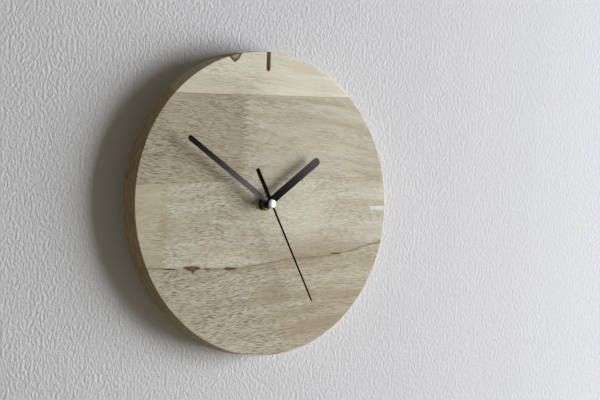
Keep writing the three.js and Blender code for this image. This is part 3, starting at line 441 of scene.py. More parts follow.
def layBoards(add, place, look):
    # The panel's layout: heights over the glue lines, distances from the finger joints, and masks that
    # are 1 above a line, right of a joint or inside a board. The second joint runs on through the lowest
    # board, so inLower holds both boards below the second glue line.
    axes = add("SeparateXYZ", {0: place})
    across, depth, up = axes.outputs["X"], axes.outputs["Y"], axes.outputs["Z"]
    heights = []
    for height, rise in look["seams"]:
        line = add("Math", {0: across, 1: rise, 2: height}, operation="MULTIPLY_ADD")
        line = add("Math", {0: depth, 1: look["seamLean"], 2: line}, operation="MULTIPLY_ADD")
        heights.append(add("Math", {0: up, 1: line}, operation="SUBTRACT"))
    above = [add("Math", {0: height, 1: 0.0}, operation="GREATER_THAN") for height in heights]

    # the lowest glue line follows the dark streak, a curve through its points
    reach, drop = look["streakReach"], look["streakDrop"]
    along = add("MapRange", {"Value": across, "From Min": -reach, "From Max": reach})
    bends = [((x + reach) / (2 * reach), (z + drop) / drop) for x, z in look["streak"]]
    streak = add("FloatCurve", {"Value": along}, points=bends)
    streak = add("Math", {0: streak, 1: drop, 2: -drop}, operation="MULTIPLY_ADD")
    streakHeight = add("Math", {0: up, 1: streak}, operation="SUBTRACT")
    aboveStreak = add("Math", {0: streakHeight, 1: 0.0}, operation="GREATER_THAN")

    # finger joints: the boundary is a triangle wave up the board
    edges = []
    for middle, length, pitch in look["joints"]:
        wave = add("Math", {0: up, 1: pitch / 2}, operation="PINGPONG")
        steep = {0: wave, 1: 2 * length / pitch, 2: middle - length / 2}
        tooth = add("Math", steep, operation="MULTIPLY_ADD")
        edges.append(add("Math", {0: across, 1: tooth}, operation="SUBTRACT"))
    rightOf = [add("Math", {0: edge, 1: 0.0}, operation="GREATER_THAN") for edge in edges]

    inSecond = add("Math", {0: above[1], 1: above[0]}, operation="SUBTRACT")
    inLower = add("Math", {0: 1.0, 1: above[1]}, operation="SUBTRACT")
    return SimpleNamespace(
        across=across,
        heights=heights,
        above=above,
        streakHeight=streakHeight,
        aboveStreak=aboveStreak,
        edges=edges,
        rightOf=rightOf,
        inSecond=inSecond,
        inLower=inLower,
        secondRight=add("Math", {0: inSecond, 1: rightOf[0]}, operation="MULTIPLY"),
        lowerRight=add("Math", {0: inLower, 1: rightOf[1]}, operation="MULTIPLY"),
    )


def bendGrain(add, place, boards, swirl, look):
    # every stave has its own piece of the grain: the pattern jumps at each glue line and joint
    jump = boards.above[1]
    areas = (boards.above[0], boards.aboveStreak, boards.secondRight, boards.lowerRight)
    for area, step in zip(areas, look["staveSteps"]):
        jump = add("Math", {0: area, 1: step, 2: jump}, operation="MULTIPLY_ADD")
    jumps = add("CombineXYZ", {0: jump, 1: jump, 2: jump})
    shift = {0: jumps, 1: look["staveJump"], 2: look["grainStart"]}
    shift = add("VectorMath", shift, operation="MULTIPLY_ADD")
    moved = add("VectorMath", {0: place, 1: shift}, operation="ADD")

    # the grain falls a little to the right in the upper boards and climbs in the lower ones, wanders and
    # ripples everywhere, and bends round the pale swirl
    climb = look["lowClimb"]
    tilt = add("Math", {0: boards.above[1], 1: climb, 2: -climb}, operation="MULTIPLY_ADD")
    tilt = add("Math", {0: boards.aboveStreak, 1: look["climbEase"], 2: tilt}, operation="MULTIPLY_ADD")
    wander = woodFigure(add, moved, "wander")
    ripple = woodFigure(add, moved, "ripple")
    drift = add("Math", {0: wander, 1: look["wanderRise"]}, operation="MULTIPLY")
    drift = add("Math", {0: swirl, 1: look["swirlRise"], 2: drift}, operation="MULTIPLY_ADD")
    drift = add("Math", {0: boards.across, 1: tilt, 2: drift}, operation="MULTIPLY_ADD")
    drift = add("Math", {0: ripple, 1: look["rippleRise"], 2: drift}, operation="MULTIPLY_ADD")
    grain = add("VectorMath", {0: moved, 1: add("CombineXYZ", {"Z": drift})}, operation="ADD")
    return moved, grain


def openPores(add, moved, grain, boards, look):
    # short dark pores, in loose crowds: fewer to the right, in the top board, in the right half of the
    # second and at the left end of the lower two, and more below the streak
    pores = woodFigure(add, grain, "pores", roughness=0.4)
    pores = add("MapRange", {"Value": pores, "From Min": 0.49, "From Max": 0.6})
    crowd = add("MapRange", {
        "Value": woodFigure(add, moved, "crowd"),
        "From Min": 0.35,
        "From Max": 0.6,
        "To Min": 0.6,
        "To Max": 0.95,
    })
    leftward = add("MapRange", {
        "Value": boards.across,
        "From Min": -look["leftwardHalf"],
        "From Max": look["leftwardHalf"],
        "To Min": 1.0,
        "To Max": 0.5,
    })
    share = add("Math", {0: crowd, 1: leftward}, operation="MULTIPLY")
    below = add("Math", {0: 1.0, 1: boards.aboveStreak}, operation="SUBTRACT")
    share = add("Math", {0: below, 1: 0.15, 2: share}, operation="MULTIPLY_ADD")
    lowerLeft = add("Math", {0: boards.inLower, 1: boards.lowerRight}, operation="SUBTRACT")
    for area, change in ((boards.secondRight, -0.15), (boards.above[0], -0.4), (lowerLeft, -0.4)):
        share = add("Math", {0: area, 1: change, 2: share}, operation="MULTIPLY_ADD", use_clamp=True)
    return add("Math", {0: pores, 1: share}, operation="MULTIPLY")


def boardColour(add, boards, look):
    # each stave has a tone of its own, chosen by the masks from the lowest board up
    colour = look["lowBoard"]
    for area, side, left, right in (
        (boards.aboveStreak, boards.rightOf[1], "thirdLeft", "thirdRight"),
        (boards.above[1], boards.rightOf[0], "secondLeft", "secondRight"),
    ):
        board = add("Mix", {"Factor": side, "A": look[left], "B": look[right]}, data_type="RGBA")
        colour = add("Mix", {"Factor": area, "A": colour, "B": board}, data_type="RGBA")
    return add("Mix", {"Factor": boards.above[0], "A": colour, "B": look["topBoard"]}, data_type="RGBA")


def grainMasks(add, tone, lines, boards, look):
    # broad darker bands, in wood that grows darker to the left, and fine lines; the bands and the
    # lines are fainter in the top board
    quiet = add("Math", {0: boards.above[0], 1: -0.45, 2: 1.0}, operation="MULTIPLY_ADD")
    bands = add("MapRange", {"Value": tone, "From Min": 0.42, "From Max": 0.72, "To Max": 0.5})
    bands = add("Math", {0: bands, 1: quiet}, operation="MULTIPLY")
    leftDarkening = add("MapRange", {
        "Value": boards.across,
        "From Min": -look["leftwardHalf"],
        "From Max": look["leftwardHalf"],
        "To Min": 0.28,
        "To Max": 0.0,
    })
    bands = add("Math", {0: bands, 1: leftDarkening}, operation="ADD", use_clamp=True)
    fine = add("MapRange", {"Value": lines, "From Min": 0.45, "From Max": 0.75, "To Max": 0.55})
    fine = add("Math", {0: fine, 1: quiet}, operation="MULTIPLY")
    return bands, fine


def stainLayers(add, place, tone, swirl, rough, look):
    # the pale swirl, brown stains that come and go with the broad tone, and a rosy patch
    layers = [(add("Math", {0: swirl, 1: 0.28}, operation="MULTIPLY"), "paleSwirl")]
    patchy = add("MapRange", {"Value": tone, "From Min": 0.3, "From Max": 0.6})
    for middle, reach, strength in woodStains:
        stain = softSpot(add, place, middle, reach, edge=0.6, wobble=1.1, rough=rough)
        stain = add("Math", {0: stain, 1: strength}, operation="MULTIPLY")
        layers.append((add("Math", {0: stain, 1: patchy}, operation="MULTIPLY"), "brownStain"))
    rosy = softSpot(add, place, *look["rosyPatch"], edge=0.5, wobble=0.6, rough=rough)
    layers.append((add("Math", {0: rosy, 1: 0.35}, operation="MULTIPLY"), "rosyStain"))
    return layers


def lineLayers(add, lines, boards, look):
    # the glue lines, the finger joints inside their boards, and the streak: a broken line in a faint band
    marks = [(thinLine(add, height, look["seamWidth"]), look["seamStrength"]) for height in boards.heights]
    insides = (boards.inSecond, boards.inLower)
    for inside, edge, strength in zip(insides, boards.edges, look["jointStrengths"]):
        line = thinLine(add, edge, look["jointWidth"])
        marks.append((add("Math", {0: line, 1: inside}, operation="MULTIPLY"), strength))
    broken = add("MapRange", {
        "Value": lines,
        "From Min": 0.4,
        "From Max": 0.6,
        "To Min": 0.4,
        "To Max": 0.9,
    })
    for width, strength in ((look["streakLine"], broken), look["streakBand"]):
        marks.append((thinLine(add, boards.streakHeight, width), strength))
    return [
        (add("Math", {0: mark, 1: strength}, operation="MULTIPLY"), "markBrown")
        for mark, strength in marks
    ]


def knotLayers(add, place, rough, look):
    # small dark knots in wider halos along the streak, and a pointed one at the rim with a dark ring
    layers = []
    for middle, reach in woodKnots:
        wide = [half * share for half, share in zip(reach, look["haloShares"])]
        halo = softSpot(add, place, middle, wide, edge=0.4, wobble=0.8, rough=rough)
        layers.append((add("Math", {0: halo, 1: 0.3}, operation="MULTIPLY"), "knotHalo"))
        core = softSpot(add, place, middle, reach, edge=0.35, wobble=0.9, rough=rough)
        layers.append((add("Math", {0: core, 1: 0.85}, operation="MULTIPLY"), "knotDark"))
    outer, inner = (
        softSpot(add, place, look["rimKnot"], reach, edge, wobble=0.25, rough=rough, pointed=True)
        for reach, edge in look["rimKnotRings"]
    )
    ring = add("Math", {0: outer, 1: inner}, operation="SUBTRACT", use_clamp=True)
    layers.append((add("Math", {0: outer, 1: 0.75}, operation="MULTIPLY"), "rimKnotCore"))
    layers.append((add("Math", {0: ring, 1: 0.95}, operation="MULTIPLY"), "knotDark"))
    return layers


def rimColour(add, moved, fine, face, boards, look):
    # The rim is dark where the fibres end, at left and right, and paler where they run along it. It
    # takes a share of the face's own colour, more of it at the top left, where the knot comes through.
    normal = add("SeparateXYZ", {0: add("TexCoord").outputs["Normal"]})
    figure = woodFigure(add, moved, "endFigure")
    figure = add("MapRange", {"Value": figure, "From Min": 0.38, "From Max": 0.62})
    tones = [
        add("Mix", {"Factor": mask, "A": look[pale], "B": look["endDark"]}, data_type="RGBA")
        for mask, pale in ((fine, "sideGrain"), (figure, "endGrain"))
    ]
    endOn = add("Math", {0: normal.outputs["X"]}, operation="ABSOLUTE")
    endOn = add("MapRange", {"Value": endOn, "From Min": 0.2, "From Max": 0.9})
    rim = add("Mix", {"Factor": endOn, "A": tones[0], "B": tones[1]}, data_type="RGBA")
    full, gone = look["rimKnotSide"]
    leftSide = add("MapRange", {
        "Value": boards.across,
        "From Min": full,
        "From Max": gone,
        "To Min": 0.35,
        "To Max": 0.0,
    })
    share = add("Math", {0: boards.above[0], 1: leftSide, 2: 0.3}, operation="MULTIPLY_ADD")
    rim = add("Mix", {"Factor": share, "A": rim, "B": face}, data_type="RGBA")
    turnedAway = add("Math", {0: normal.outputs["Y"]}, operation="ABSOLUTE")
    onRim = add("MapRange", {
        "Value": turnedAway,
        "From Min": 0.35,
        "From Max": 0.75,
        "To Min": 1.0,
        "To Max": 0.0,
    })
    return add("Mix", {"Factor": onRim, "A": face, "B": rim}, data_type="RGBA")


def oiledAcacia(look):
    # Sanded boards in a thin oil: the grain shows through, with a soft gloss and no film on top. The
    # colour is the boards' own, with grain, stains, lines and knots laid over it. The pores are also
    # shallow dents, and the gloss varies with the fine lines.
    add, dress = newFinish("oiledAcacia", Specular_IOR_Level=0.15)
    place = scaledPlace(add, 1, 1, 1, centre=(shaftX, discFront, shaftZ))
    rough = add("TexNoise", {"Vector": place, "Scale": 0.16, "Detail": 3.0})
    boards = layBoards(add, place, look)
    swirl = softSpot(add, place, *look["swirl"], edge=0.45, wobble=0.5, rough=rough)
    moved, grain = bendGrain(add, place, boards, swirl, look)
    tone = woodFigure(add, grain, "tone")
    lines = woodFigure(add, grain, "lines")
    pores = openPores(add, moved, grain, boards, look)
    bands, fine = grainMasks(add, tone, lines, boards, look)
    layers = [
        (bands, "grainDark"),
        (fine, "grainDark"),
        (pores, "pore"),
        *stainLayers(add, place, tone, swirl, rough, look),
        *lineLayers(add, lines, boards, look),
        *knotLayers(add, place, rough, look),
    ]
    colour = boardColour(add, boards, look)
    for mask, name in layers:
        colour = add("Mix", {"Factor": mask, "A": colour, "B": look[name]}, data_type="RGBA")
    colour = rimColour(add, moved, fine, colour, boards, look)
    relief = add("Math", {0: pores, 1: -1.0, 2: lines}, operation="MULTIPLY_ADD")
    bump = add("Bump", {"Height": relief, "Strength": 0.25, "Distance": 0.08 * mm})
    dull = add("MapRange", {"Value": lines, "To Min": 0.68, "To Max": 0.88})
    return dress(Base_Color=colour, Roughness=dull, Normal=bump)


discLow, discHigh = span("wood_disc")
discFront, discBack = discLow[1], discHigh[1]
wood = oiledAcacia(woodLook)

woodDisc = {
    "edge": 0.5,
    "slotWidth": 3.5,
    "slotLength": 16.0,
    "shaftHole": 8.6,
    "pocketHalf": 28.75,
    "pocketCorner": 6.0,
    "web": 2.6,  # wood left in front of the pocket
    "recess": (46.6, 20.6, 4.3, 1.65),  # width, height, corner and depth for the hanger
    "recessAt": 88.0,  # up from the shaft
    "nailRoom": (6.2, 78.8, 97.6, 3.1, 9.0),  # half width, foot, top, corner and depth
    "screwHoles": (17.0, 1.55, 11.3),  # across, radius and depth
    "rimSteps": (150, 450),  # points from slot to slot, the short way and the long way
    "slotSteps": 17,
}


def discOutline(size):
    # the rim, counterclockwise from the slot at three, with both slots cut into it
    radius, half = discHigh[2] - shaftZ, size["slotWidth"] / 2
    bite = math.degrees(math.asin(half / radius))
    inner = radius - size["slotLength"] + half
    slot = arc((inner, 0), half, 270, 90, size["slotSteps"])
    upright = np.column_stack([-slot[:, 1], slot[:, 0]])
    few, many = size["rimSteps"]
    return np.concatenate([
        arc((0, 0), radius, bite, 90 - bite, few),
        upright,
        arc((0, 0), radius, 90 + bite, 360 - bite, many),
        slot,
    ])


def buildDisc(size):
    # a slab with a rounded edge; the pocket, recess and holes are walls and floors sunk from the back
    outline = discOutline(size) + shaft
    profile = edgeProfile(discFront, discBack, size["edge"])
    hole = circle(shaft, size["shaftHole"] / 2, 72)
    half = size["pocketHalf"]
    pocket = roundedBox(-half, half, -half, half, size["pocketCorner"]) + shaft
    pocketFloor = discFront + size["web"]
    width, height, corner, recessDepth = size["recess"]
    at = size["recessAt"]
    recess = roundedBox(-width / 2, width / 2, at - height / 2, at + height / 2, corner) + shaft
    recessFloor = discBack - recessDepth
    side, foot, top, corner, roomDepth = size["nailRoom"]
    room = roundedBox(-side, side, foot, top, corner) + shaft
    across, radius, holeDepth = size["screwHoles"]
    screwHoles = [circle(shaft + (x, at), radius, 24) for x in (-across, across)]
    patches = [
        sides(outline, profile),
        flat(discFront, inset(outline, size["edge"]), hole),
        walls([atDepth(hole, discFront), atDepth(hole, pocketFloor)]),
        flat(discBack, inset(outline, size["edge"]), pocket, recess),
        walls([atDepth(pocket, pocketFloor), atDepth(pocket, discBack)]),
        flat(pocketFloor, pocket, hole),
        walls([atDepth(recess, recessFloor), atDepth(recess, discBack)]),
        flat(recessFloor, recess, room, *screwHoles),
        walls([atDepth(room, discBack - roomDepth), atDepth(room, recessFloor)]),
        flat(discBack - roomDepth, room),
    ]
    for screwHole in screwHoles:
        patches += [
            walls([atDepth(screwHole, discBack - holeDepth), atDepth(screwHole, recessFloor)]),
            flat(discBack - holeDepth, screwHole),
        ]
    return patches


makePiece("woodDisc", buildDisc(woodDisc), "clock", "wood_disc", wood)
print("wood disc made")


# Hands: stamped sheet, edges rolled over by the die, in a satin black lacquer.

def satinLacquer(name, atHub, atTip, length, gloss):
    # Sprayed black lacquer over aluminium: a soft sheen, smoother where it is rubbed than where it isn't.
    # Its specks are half a millimetre across, coarser than real, so that they show.
    add, dress = newFinish(name, Specular_IOR_Level=gloss, Specular_Tint="#FFFCF0")
    place, distance = aboutShaft(add)
    spray = add("TexNoise", {"Vector": place, "Scale": 2.2, "Detail": 2.0})
    colour = add("ValToRGB", {"Fac": spray}, stops=[(0.3, "#080807"), (0.7, "#0D0D0C")])
    sheen = add("MapRange", {"Value": distance, "From Max": length, "To Min": atHub, "To Max": atTip})
    speck = add("Math", {0: spray, 1: 0.06, 2: sheen}, operation="MULTIPLY_ADD")
    bump = add("Bump", {"Height": spray, "Strength": 0.1, "Distance": 0.02 * mm})
    return dress(Base_Color=colour, Roughness=speck, Normal=bump)


# The bores are radii, and every other width is the whole one. Sheen is the roughness at the hub and at a
# distance from it, then that distance.
handSizes = {
    "hour": {
        "length": 63.0, "width": 6.9, "hub": 8.6, "bore": 2.55, "direction": 52.8, "edge": 0.12,
        "sheen": (0.08, 0.34, 63.0), "gloss": 0.36,
    },
    "minute": {
        "length": 95.5, "width": 4.7, "hub": 7.0, "bore": 1.65, "direction": 302.6, "edge": 0.1,
        "sheen": (0.42, 0.1, 95.0), "gloss": 0.7,
    },
    "second": {
        "length": 90.0, "width": 1.8, "tipWidth": 1.45, "tail": 32.0, "tailWidth": 3.6, "tailCorner": 0.5,
        "hub": 5.4, "bore": 0.6, "direction": 151.6, "edge": 0.08,
        "sheen": (0.2, 0.2, 90.0), "gloss": 0.03,
    },
}


def pointed(outline, direction):
    # an outline drawn towards twelve, turned clockwise to its direction about the shaft
    turn = math.radians(-direction)
    swing = np.array([[math.cos(turn), math.sin(turn)], [-math.sin(turn), math.cos(turn)]])
    return outline @ swing + shaft


def bladeOutline(size):
    # a hub circle, parallel sides and a half circle at the tip
    half, hub = size["width"] / 2, size["hub"] / 2
    bite = math.degrees(math.asin(half / hub))
    return np.concatenate([
        arc((0, 0), hub, 90 + bite, 450 - bite, 61),
        arc((0, size["length"] - half), half, 0, 180, 25),
    ])


def needleOutline(size):
    # a thin tapered needle one way from the hub and a wider counterweight the other
    half, tip, tail, hub = (size[name] / 2 for name in ("width", "tipWidth", "tailWidth", "hub"))
    bite, tailBite = math.degrees(math.asin(half / hub)), math.degrees(math.asin(tail / hub))
    corner = size["tailCorner"]
    return np.concatenate([
        arc((0, 0), hub, tailBite - 90, 90 - bite, 25),
        arc((tip / 2, size["length"] - tip / 2), tip / 2, 0, 90, 5),
        arc((-tip / 2, size["length"] - tip / 2), tip / 2, 90, 180, 5),
        arc((0, 0), hub, 90 + bite, 270 - tailBite, 25),
        arc((corner - tail, corner - size["tail"]), corner, 180, 270, 5),
        arc((tail - corner, corner - size["tail"]), corner, 270, 360, 5),
    ])


def buildBlade(size, outline, node):
    # a flat hand: its outline with rolled edges, and the bore through its hub
    low, high = span(node)
    outline = pointed(outline, size["direction"])
    bore = circle(shaft, size["bore"], 40)
    edge = size["edge"]
    return [
        sides(outline, edgeProfile(low[1], high[1], edge)),
        flat(low[1], inset(outline, edge), bore),
        flat(high[1], inset(outline, edge), bore),
        walls([atDepth(bore, low[1]), atDepth(bore, high[1])]),
    ]


lacquers = {
    body: satinLacquer(body + "HandLacquer", *size["sheen"], size["gloss"])
    for body, size in handSizes.items()
}
for body, outlineOf in (("hour", bladeOutline), ("minute", bladeOutline), ("second", needleOutline)):
    size, node = handSizes[body], body + "_hand"
    patches = buildBlade(size, outlineOf(size), node)
    makePiece(body + "Hand", patches, body, node, lacquers[body])


def collarProfile(node, bore, edge):
    # a ring's closed profile: bore, back, rounded outer edge, front
    low, high = span(node)
    radius = (high[2] - low[2]) / 2
    rim = [(radius - away, depth) for away, depth in edgeProfile(low[1], high[1], edge)]
    return [(bore, low[1]), *rim, (bore, high[1]), (bore, low[1])]


for name, body, node, edge in (
    ("hourCollet", "hour", "hour_hand_collet", 0.2),
    ("minuteCollet", "minute", "minute_hand_collet", 0.15),
    ("secondTube", "second", "second_hand_hub", 0.15),
):
    collar = [turned(collarProfile(node, handSizes[body]["bore"], edge))]
    makePiece(name, collar, body, node, lacquers["second"])
print("hands made")


# Cap: a turned and polished steel button over the end of the second hand's pin.

def polishedSteel():
    # Tumbled and polished steel: bright, with faint turning rings a quarter of a millimetre apart that
    # soften the reflection.
    add, dress = newFinish("polishedSteel", Metallic=1.0)
    place, radius = aboutShaft(add)
    rings = add("TexNoise", {"Vector": add("CombineXYZ", {0: radius}), "Scale": 4.0, "Detail": 3.0})
    smudge = add("TexNoise", {"Vector": place, "Scale": 0.7, "Detail": 2.0})
    colour = add("ValToRGB", {"Fac": smudge}, stops=[(0.3, "#B4B4BA"), (0.7, "#D0D0D6")])
    rough = add("MapRange", {"Value": rings, "To Min": 0.3, "To Max": 0.5})
    bump = add("Bump", {"Height": rings, "Strength": 0.15, "Distance": 0.02 * mm})
    return dress(Base_Color=colour, Roughness=rough, Normal=bump)


capSize = {"bore": 0.6, "edge": 0.35, "roof": 0.8, "lip": 0.05, "steps": 12, "around": 72}


def buildCap(size):
    # a short cylinder with a quarter ellipse for its dome, and a blind bore
    low, high = span("second_hand_cap")
    radius, back = (high[2] - low[2]) / 2, high[1]
    turn = np.radians(np.linspace(0, 90, size["steps"]))
    crown = back - size["edge"] - low[1]
    dome = [(radius * math.cos(a), back - size["edge"] - crown * math.sin(a)) for a in turn[:-1]]
    lip, bore, roof = size["lip"], size["bore"], low[1] + size["roof"]
    outside = [(bore, back), (radius - lip, back), (radius, back - lip), *dome, (0.0, low[1])]
    inside = [(0.0, roof), (bore, roof), (bore, back)]
    return [turned(profile, count=size["around"]) for profile in (outside, inside)]


capFinish = polishedSteel()
makePiece("secondCap", buildCap(capSize), "second", "second_hand_cap", capFinish, smooth=60)
print("cap made")


# Shaft fittings: turned brass.

def turnedBrass():
    # Free-cutting brass from the lathe, tarnished to a dull dark yellow and painted darker still with the
    # shade its faces reflect, with tool rings 0.2 mm apart.
    add, dress = newFinish("turnedBrass", Metallic=1.0)
    place, radius = aboutShaft(add)
    rings = add("TexNoise", {"Vector": add("CombineXYZ", {0: radius}), "Scale": 5.0, "Detail": 2.0})
    tarnishAndShade = add("TexNoise", {"Vector": place, "Scale": 0.45, "Detail": 3.0})
    # painted shade: the colour is darker than tarnish alone, standing for the dim shaded wood that the
    # brass reflects
    colour = add("ValToRGB", {"Fac": tarnishAndShade}, stops=[(0.35, "#4C452B"), (0.65, "#766A44")])
    rough = add("MapRange", {"Value": tarnishAndShade, "To Min": 0.22, "To Max": 0.45})
    bump = add("Bump", {"Height": rings, "Strength": 0.2, "Distance": 0.03 * mm})
    return dress(Base_Color=colour, Roughness=rough, Normal=bump)


brass = turnedBrass()

nutSize = {"acrossFlats": 10.4, "chamfer": 0.35, "bore": 4.0, "turn": 30.0, "around": 144, "steps": 7}
washerSize = {"bore": 4.0, "edge": 0.1, "around": 96}
bushSize = {
    "flange": 5.2, "flangeThickness": 0.6, "radius": 3.95, "bore": 2.58, "pitch": 0.75, "thread": 0.28,
    "chamfer": 0.3, "around": 96, "steps": 150,
}


def buildNut(size):
    # at each angle the nearer of a hexagon's side and a turned cone, over the height of the nut
    low, high = span("hex_nut")
    front, back = low[1], high[1]
    half, chamfer = size["acrossFlats"] / 2, size["chamfer"]
    corner = half / math.cos(math.radians(30))
    angle = fullTurn(size["around"])
    facing = (np.degrees(angle) - size["turn"] + 30) % 60 - 30  # degrees from the middle of a side
    side = half / np.cos(np.radians(facing))
    near = np.linspace(0, 1, size["steps"])
    depths = np.concatenate([front + chamfer * near, back - chamfer * near[::-1]])
    cone = np.concatenate([corner - 2 * chamfer * (1 - near), corner - chamfer * (1 - near[::-1])])
    radius = np.minimum(side[None, :], cone[:, None])
    ring = aboutAxis(shaft, radius, depths[:, None], angle)
    bore = turnedRings([(size["bore"], back), (size["bore"], front)], size["around"])
    return [walls(np.concatenate([ring, bore, ring[:1]]))]


def buildBush(size):
    # a tube with a flange at its back; outside, the radius dips along a helix for the thread
    low, high = span("threaded_bush")
    front, back = low[1], high[1]
    around, chamfer = size["around"], size["chamfer"]
    angle = fullTurn(around)
    flangeFront = back - size["flangeThickness"]
    depth = np.linspace(flangeFront, front, size["steps"])[:, None]
    wave = np.abs(((depth / size["pitch"] + angle / (2 * np.pi)) % 1) * 2 - 1)
    full = np.clip((depth - front) / chamfer, 0, 1)
    radius = size["radius"] - size["thread"] * wave - chamfer * (1 - full)
    thread = aboutAxis(shaft, radius, depth, angle)
    foot = [(size["bore"], back), (size["flange"], back), (size["flange"], flangeFront)]
    inside = [(size["bore"], front), (size["bore"], back)]
    rings = [turnedRings(foot, around), thread, turnedRings(inside, around)]
    return [walls(np.concatenate(rings))]


makePiece("brassNut", buildNut(nutSize), "clock", "hex_nut", brass)
makePiece("brassBush", buildBush(bushSize), "clock", "threaded_bush", brass, smooth=50)
washerProfile = collarProfile("washer", washerSize["bore"], washerSize["edge"])
washerSkin = turned(washerProfile, count=washerSize["around"])
makePiece("brassWasher", [washerSkin], "clock", "washer", brass)
print("shaft fittings made")


# Back: hanger plate and screws.

def zincSteel():
    # Zinc-plated steel, cold-rolled and pressed: bluish grey with a fine rolled grain and a soft spangle.
    add, dress = newFinish("zincPlatedSteel", Metallic=1.0)
    place = scaledPlace(add, 6, 1, 0.5)
    grain = add("TexNoise", {"Vector": place, "Scale": 1.0, "Detail": 3.0})
    cloud = add("TexNoise", {"Vector": scaledPlace(add, 5, 5, 5), "Scale": 1.0, "Detail": 2.0})
    colour = add("ValToRGB", {"Fac": cloud}, stops=[(0.3, "#A9ACB0"), (0.7, "#C4C6C9")])
    rough = add("MapRange", {"Value": grain, "To Min": 0.3, "To Max": 0.5})
    bump = add("Bump", {"Height": grain, "Strength": 0.15, "Distance": 0.03 * mm})
    return dress(Base_Color=colour, Roughness=rough, Normal=bump)


steel = zincSteel()

hangerSize = {
    "corner": 4.0, "edge": 0.2, "head": 4.2, "headAt": -8.5, "neck": 2.1, "neckAt": 0.0,
    "screwAcross": 17.0, "screwAt": -5.5, "screwHead": 2.85, "shank": 1.55, "sink": 1.4,
}


def keyholeOutline(size):
    # a large circle that opens upwards into a narrower slot with a round end
    bite = math.degrees(math.asin(size["neck"] / size["head"]))
    return np.concatenate([
        arc((0, size["headAt"]), size["head"], 90 + bite, 450 - bite, 61),
        arc((0, size["neckAt"]), size["neck"], 0, 180, 25),
    ])


def buildHanger(size):
    # a plate with a keyhole and two screw holes that widen as cones towards the back
    low, high = span("hanger_plate")
    front, back = low[1], high[1]
    outline = roundedBox(low[0], high[0], low[2], high[2], size["corner"])
    keyhole = keyholeOutline(size)
    edge = size["edge"]
    screwAt = [(x, size["screwAt"]) for x in (-size["screwAcross"], size["screwAcross"])]
    wide = [circle(at, size["screwHead"], 36) for at in screwAt]
    narrow = [circle(at, size["shank"], 36) for at in screwAt]
    patches = [
        sides(outline, edgeProfile(front, back, edge)),
        sides(keyhole, [(-away, depth) for away, depth in edgeProfile(front, back, edge)]),
        flat(front, inset(outline, edge), inset(keyhole, -edge), *narrow),
        flat(back, inset(outline, edge), inset(keyhole, -edge), *wide),
    ]
    for outer, inner in zip(wide, narrow):
        sunk = [(outer, back), (inner, back - size["sink"]), (inner, front)]
        patches.append(walls([atDepth(ring, depth) for ring, depth in sunk]))
    return patches


makePiece("hangerPlate", buildHanger(hangerSize), "clock", "hanger_plate", steel)

screwSize = {
    "head": 2.8, "headHeight": 1.4, "brim": 0.1, "shank": 1.35, "point": 3.0, "pitch": 1.2, "thread": 0.25,
    "drive": 1.3, "driveSlope": 0.3, "driveDepth": 0.8, "arm": 0.35, "armSlope": 0.12,
    "around": 96, "headSteps": 30, "shankSteps": 120,
}


def buildScrew(size, node):
    # the head is a disc with a cross pressed in; below it a cone, then a helix that dies out at the point
    low, high = span(node)
    at = ((low[0] + high[0]) / 2, (low[2] + high[2]) / 2)
    back, tip = high[1], low[1]
    angle, brim = fullTurn(size["around"]), size["brim"]
    radius = np.linspace(0, size["head"] - brim, size["headSteps"])[:, None]
    x, z = np.abs(radius * np.cos(angle)), np.abs(radius * np.sin(angle))
    narrow = np.clip((size["arm"] - np.minimum(x, z)) / size["armSlope"], 0, 1)
    short = np.clip((size["drive"] - np.maximum(x, z)) / size["driveSlope"], 0, 1)
    top = back - size["driveDepth"] * narrow * short
    run = np.linspace(back - brim, tip, size["shankSteps"])[:, None]
    into = back - run
    cone = np.clip(1 - (into - brim) / (size["headHeight"] - brim), 0, 1)
    core = size["shank"] - size["thread"]
    taper = np.clip((run - tip) / size["point"], 0, 1)
    wave = np.abs(((run / size["pitch"] - angle / (2 * np.pi)) % 1) * 2 - 1)
    wave = wave * (into > size["headHeight"])
    width = (core + size["thread"] * wave * np.ones_like(angle)) * taper
    width = np.maximum(width, cone * (size["head"] - size["shank"]) + size["shank"] * (cone > 0))
    return [walls(np.concatenate([aboutAxis(at, radius, top, angle), aboutAxis(at, width, run, angle)]))]


for name, node in (("hangerScrewLeft", "hanger_screw_left"), ("hangerScrewRight", "hanger_screw_right")):
    makePiece(name, buildScrew(screwSize, node), "clock", node, steel, smooth=40)
print("hanger made")


# Movement: moulded case and cover, and the pieces that show at the back.

def mouldedPolystyrene():
    # Black high-impact polystyrene from a spark-eroded mould: an even texture with a dull sheen, drawn
    # 0.6 mm coarse so that it shows.
    add, dress = newFinish("mouldedBlackPolystyrene")
    spark = add("TexNoise", {"Vector": scaledPlace(add, 0.6, 0.6, 0.6), "Scale": 1.0, "Detail": 2.0})
    flow = add("TexNoise", {"Vector": scaledPlace(add, 14, 14, 14), "Scale": 1.0, "Detail": 2.0})
    colour = add("ValToRGB", {"Fac": flow}, stops=[(0.3, "#191A1B"), (0.7, "#222324")])
    rough = add("MapRange", {"Value": spark, "To Min": 0.45, "To Max": 0.62})
    bump = add("Bump", {"Height": spark, "Strength": 0.35, "Distance": 0.04 * mm})
    return dress(Base_Color=colour, Roughness=rough, Normal=bump)


def mouldedAcetal(name, dark, pale, low, high):
    # Acetal from a polished mould: smooth, slightly waxy, with faint flow clouds.
    add, dress = newFinish(name, Subsurface_Weight=0.06)
    flow = add("TexNoise", {"Vector": scaledPlace(add, 4, 4, 4), "Scale": 1.0, "Detail": 3.0})
    wax = add("TexNoise", {"Vector": scaledPlace(add, 0.7, 0.7, 0.7), "Scale": 1.0, "Detail": 2.0})
    colour = add("ValToRGB", {"Fac": flow}, stops=[(0.3, dark), (0.7, pale)])
    rough = add("MapRange", {"Value": wax, "To Min": low, "To Max": high})
    bump = add("Bump", {"Height": wax, "Strength": 0.1, "Distance": 0.03 * mm})
    return dress(Base_Color=colour, Roughness=rough, Normal=bump)


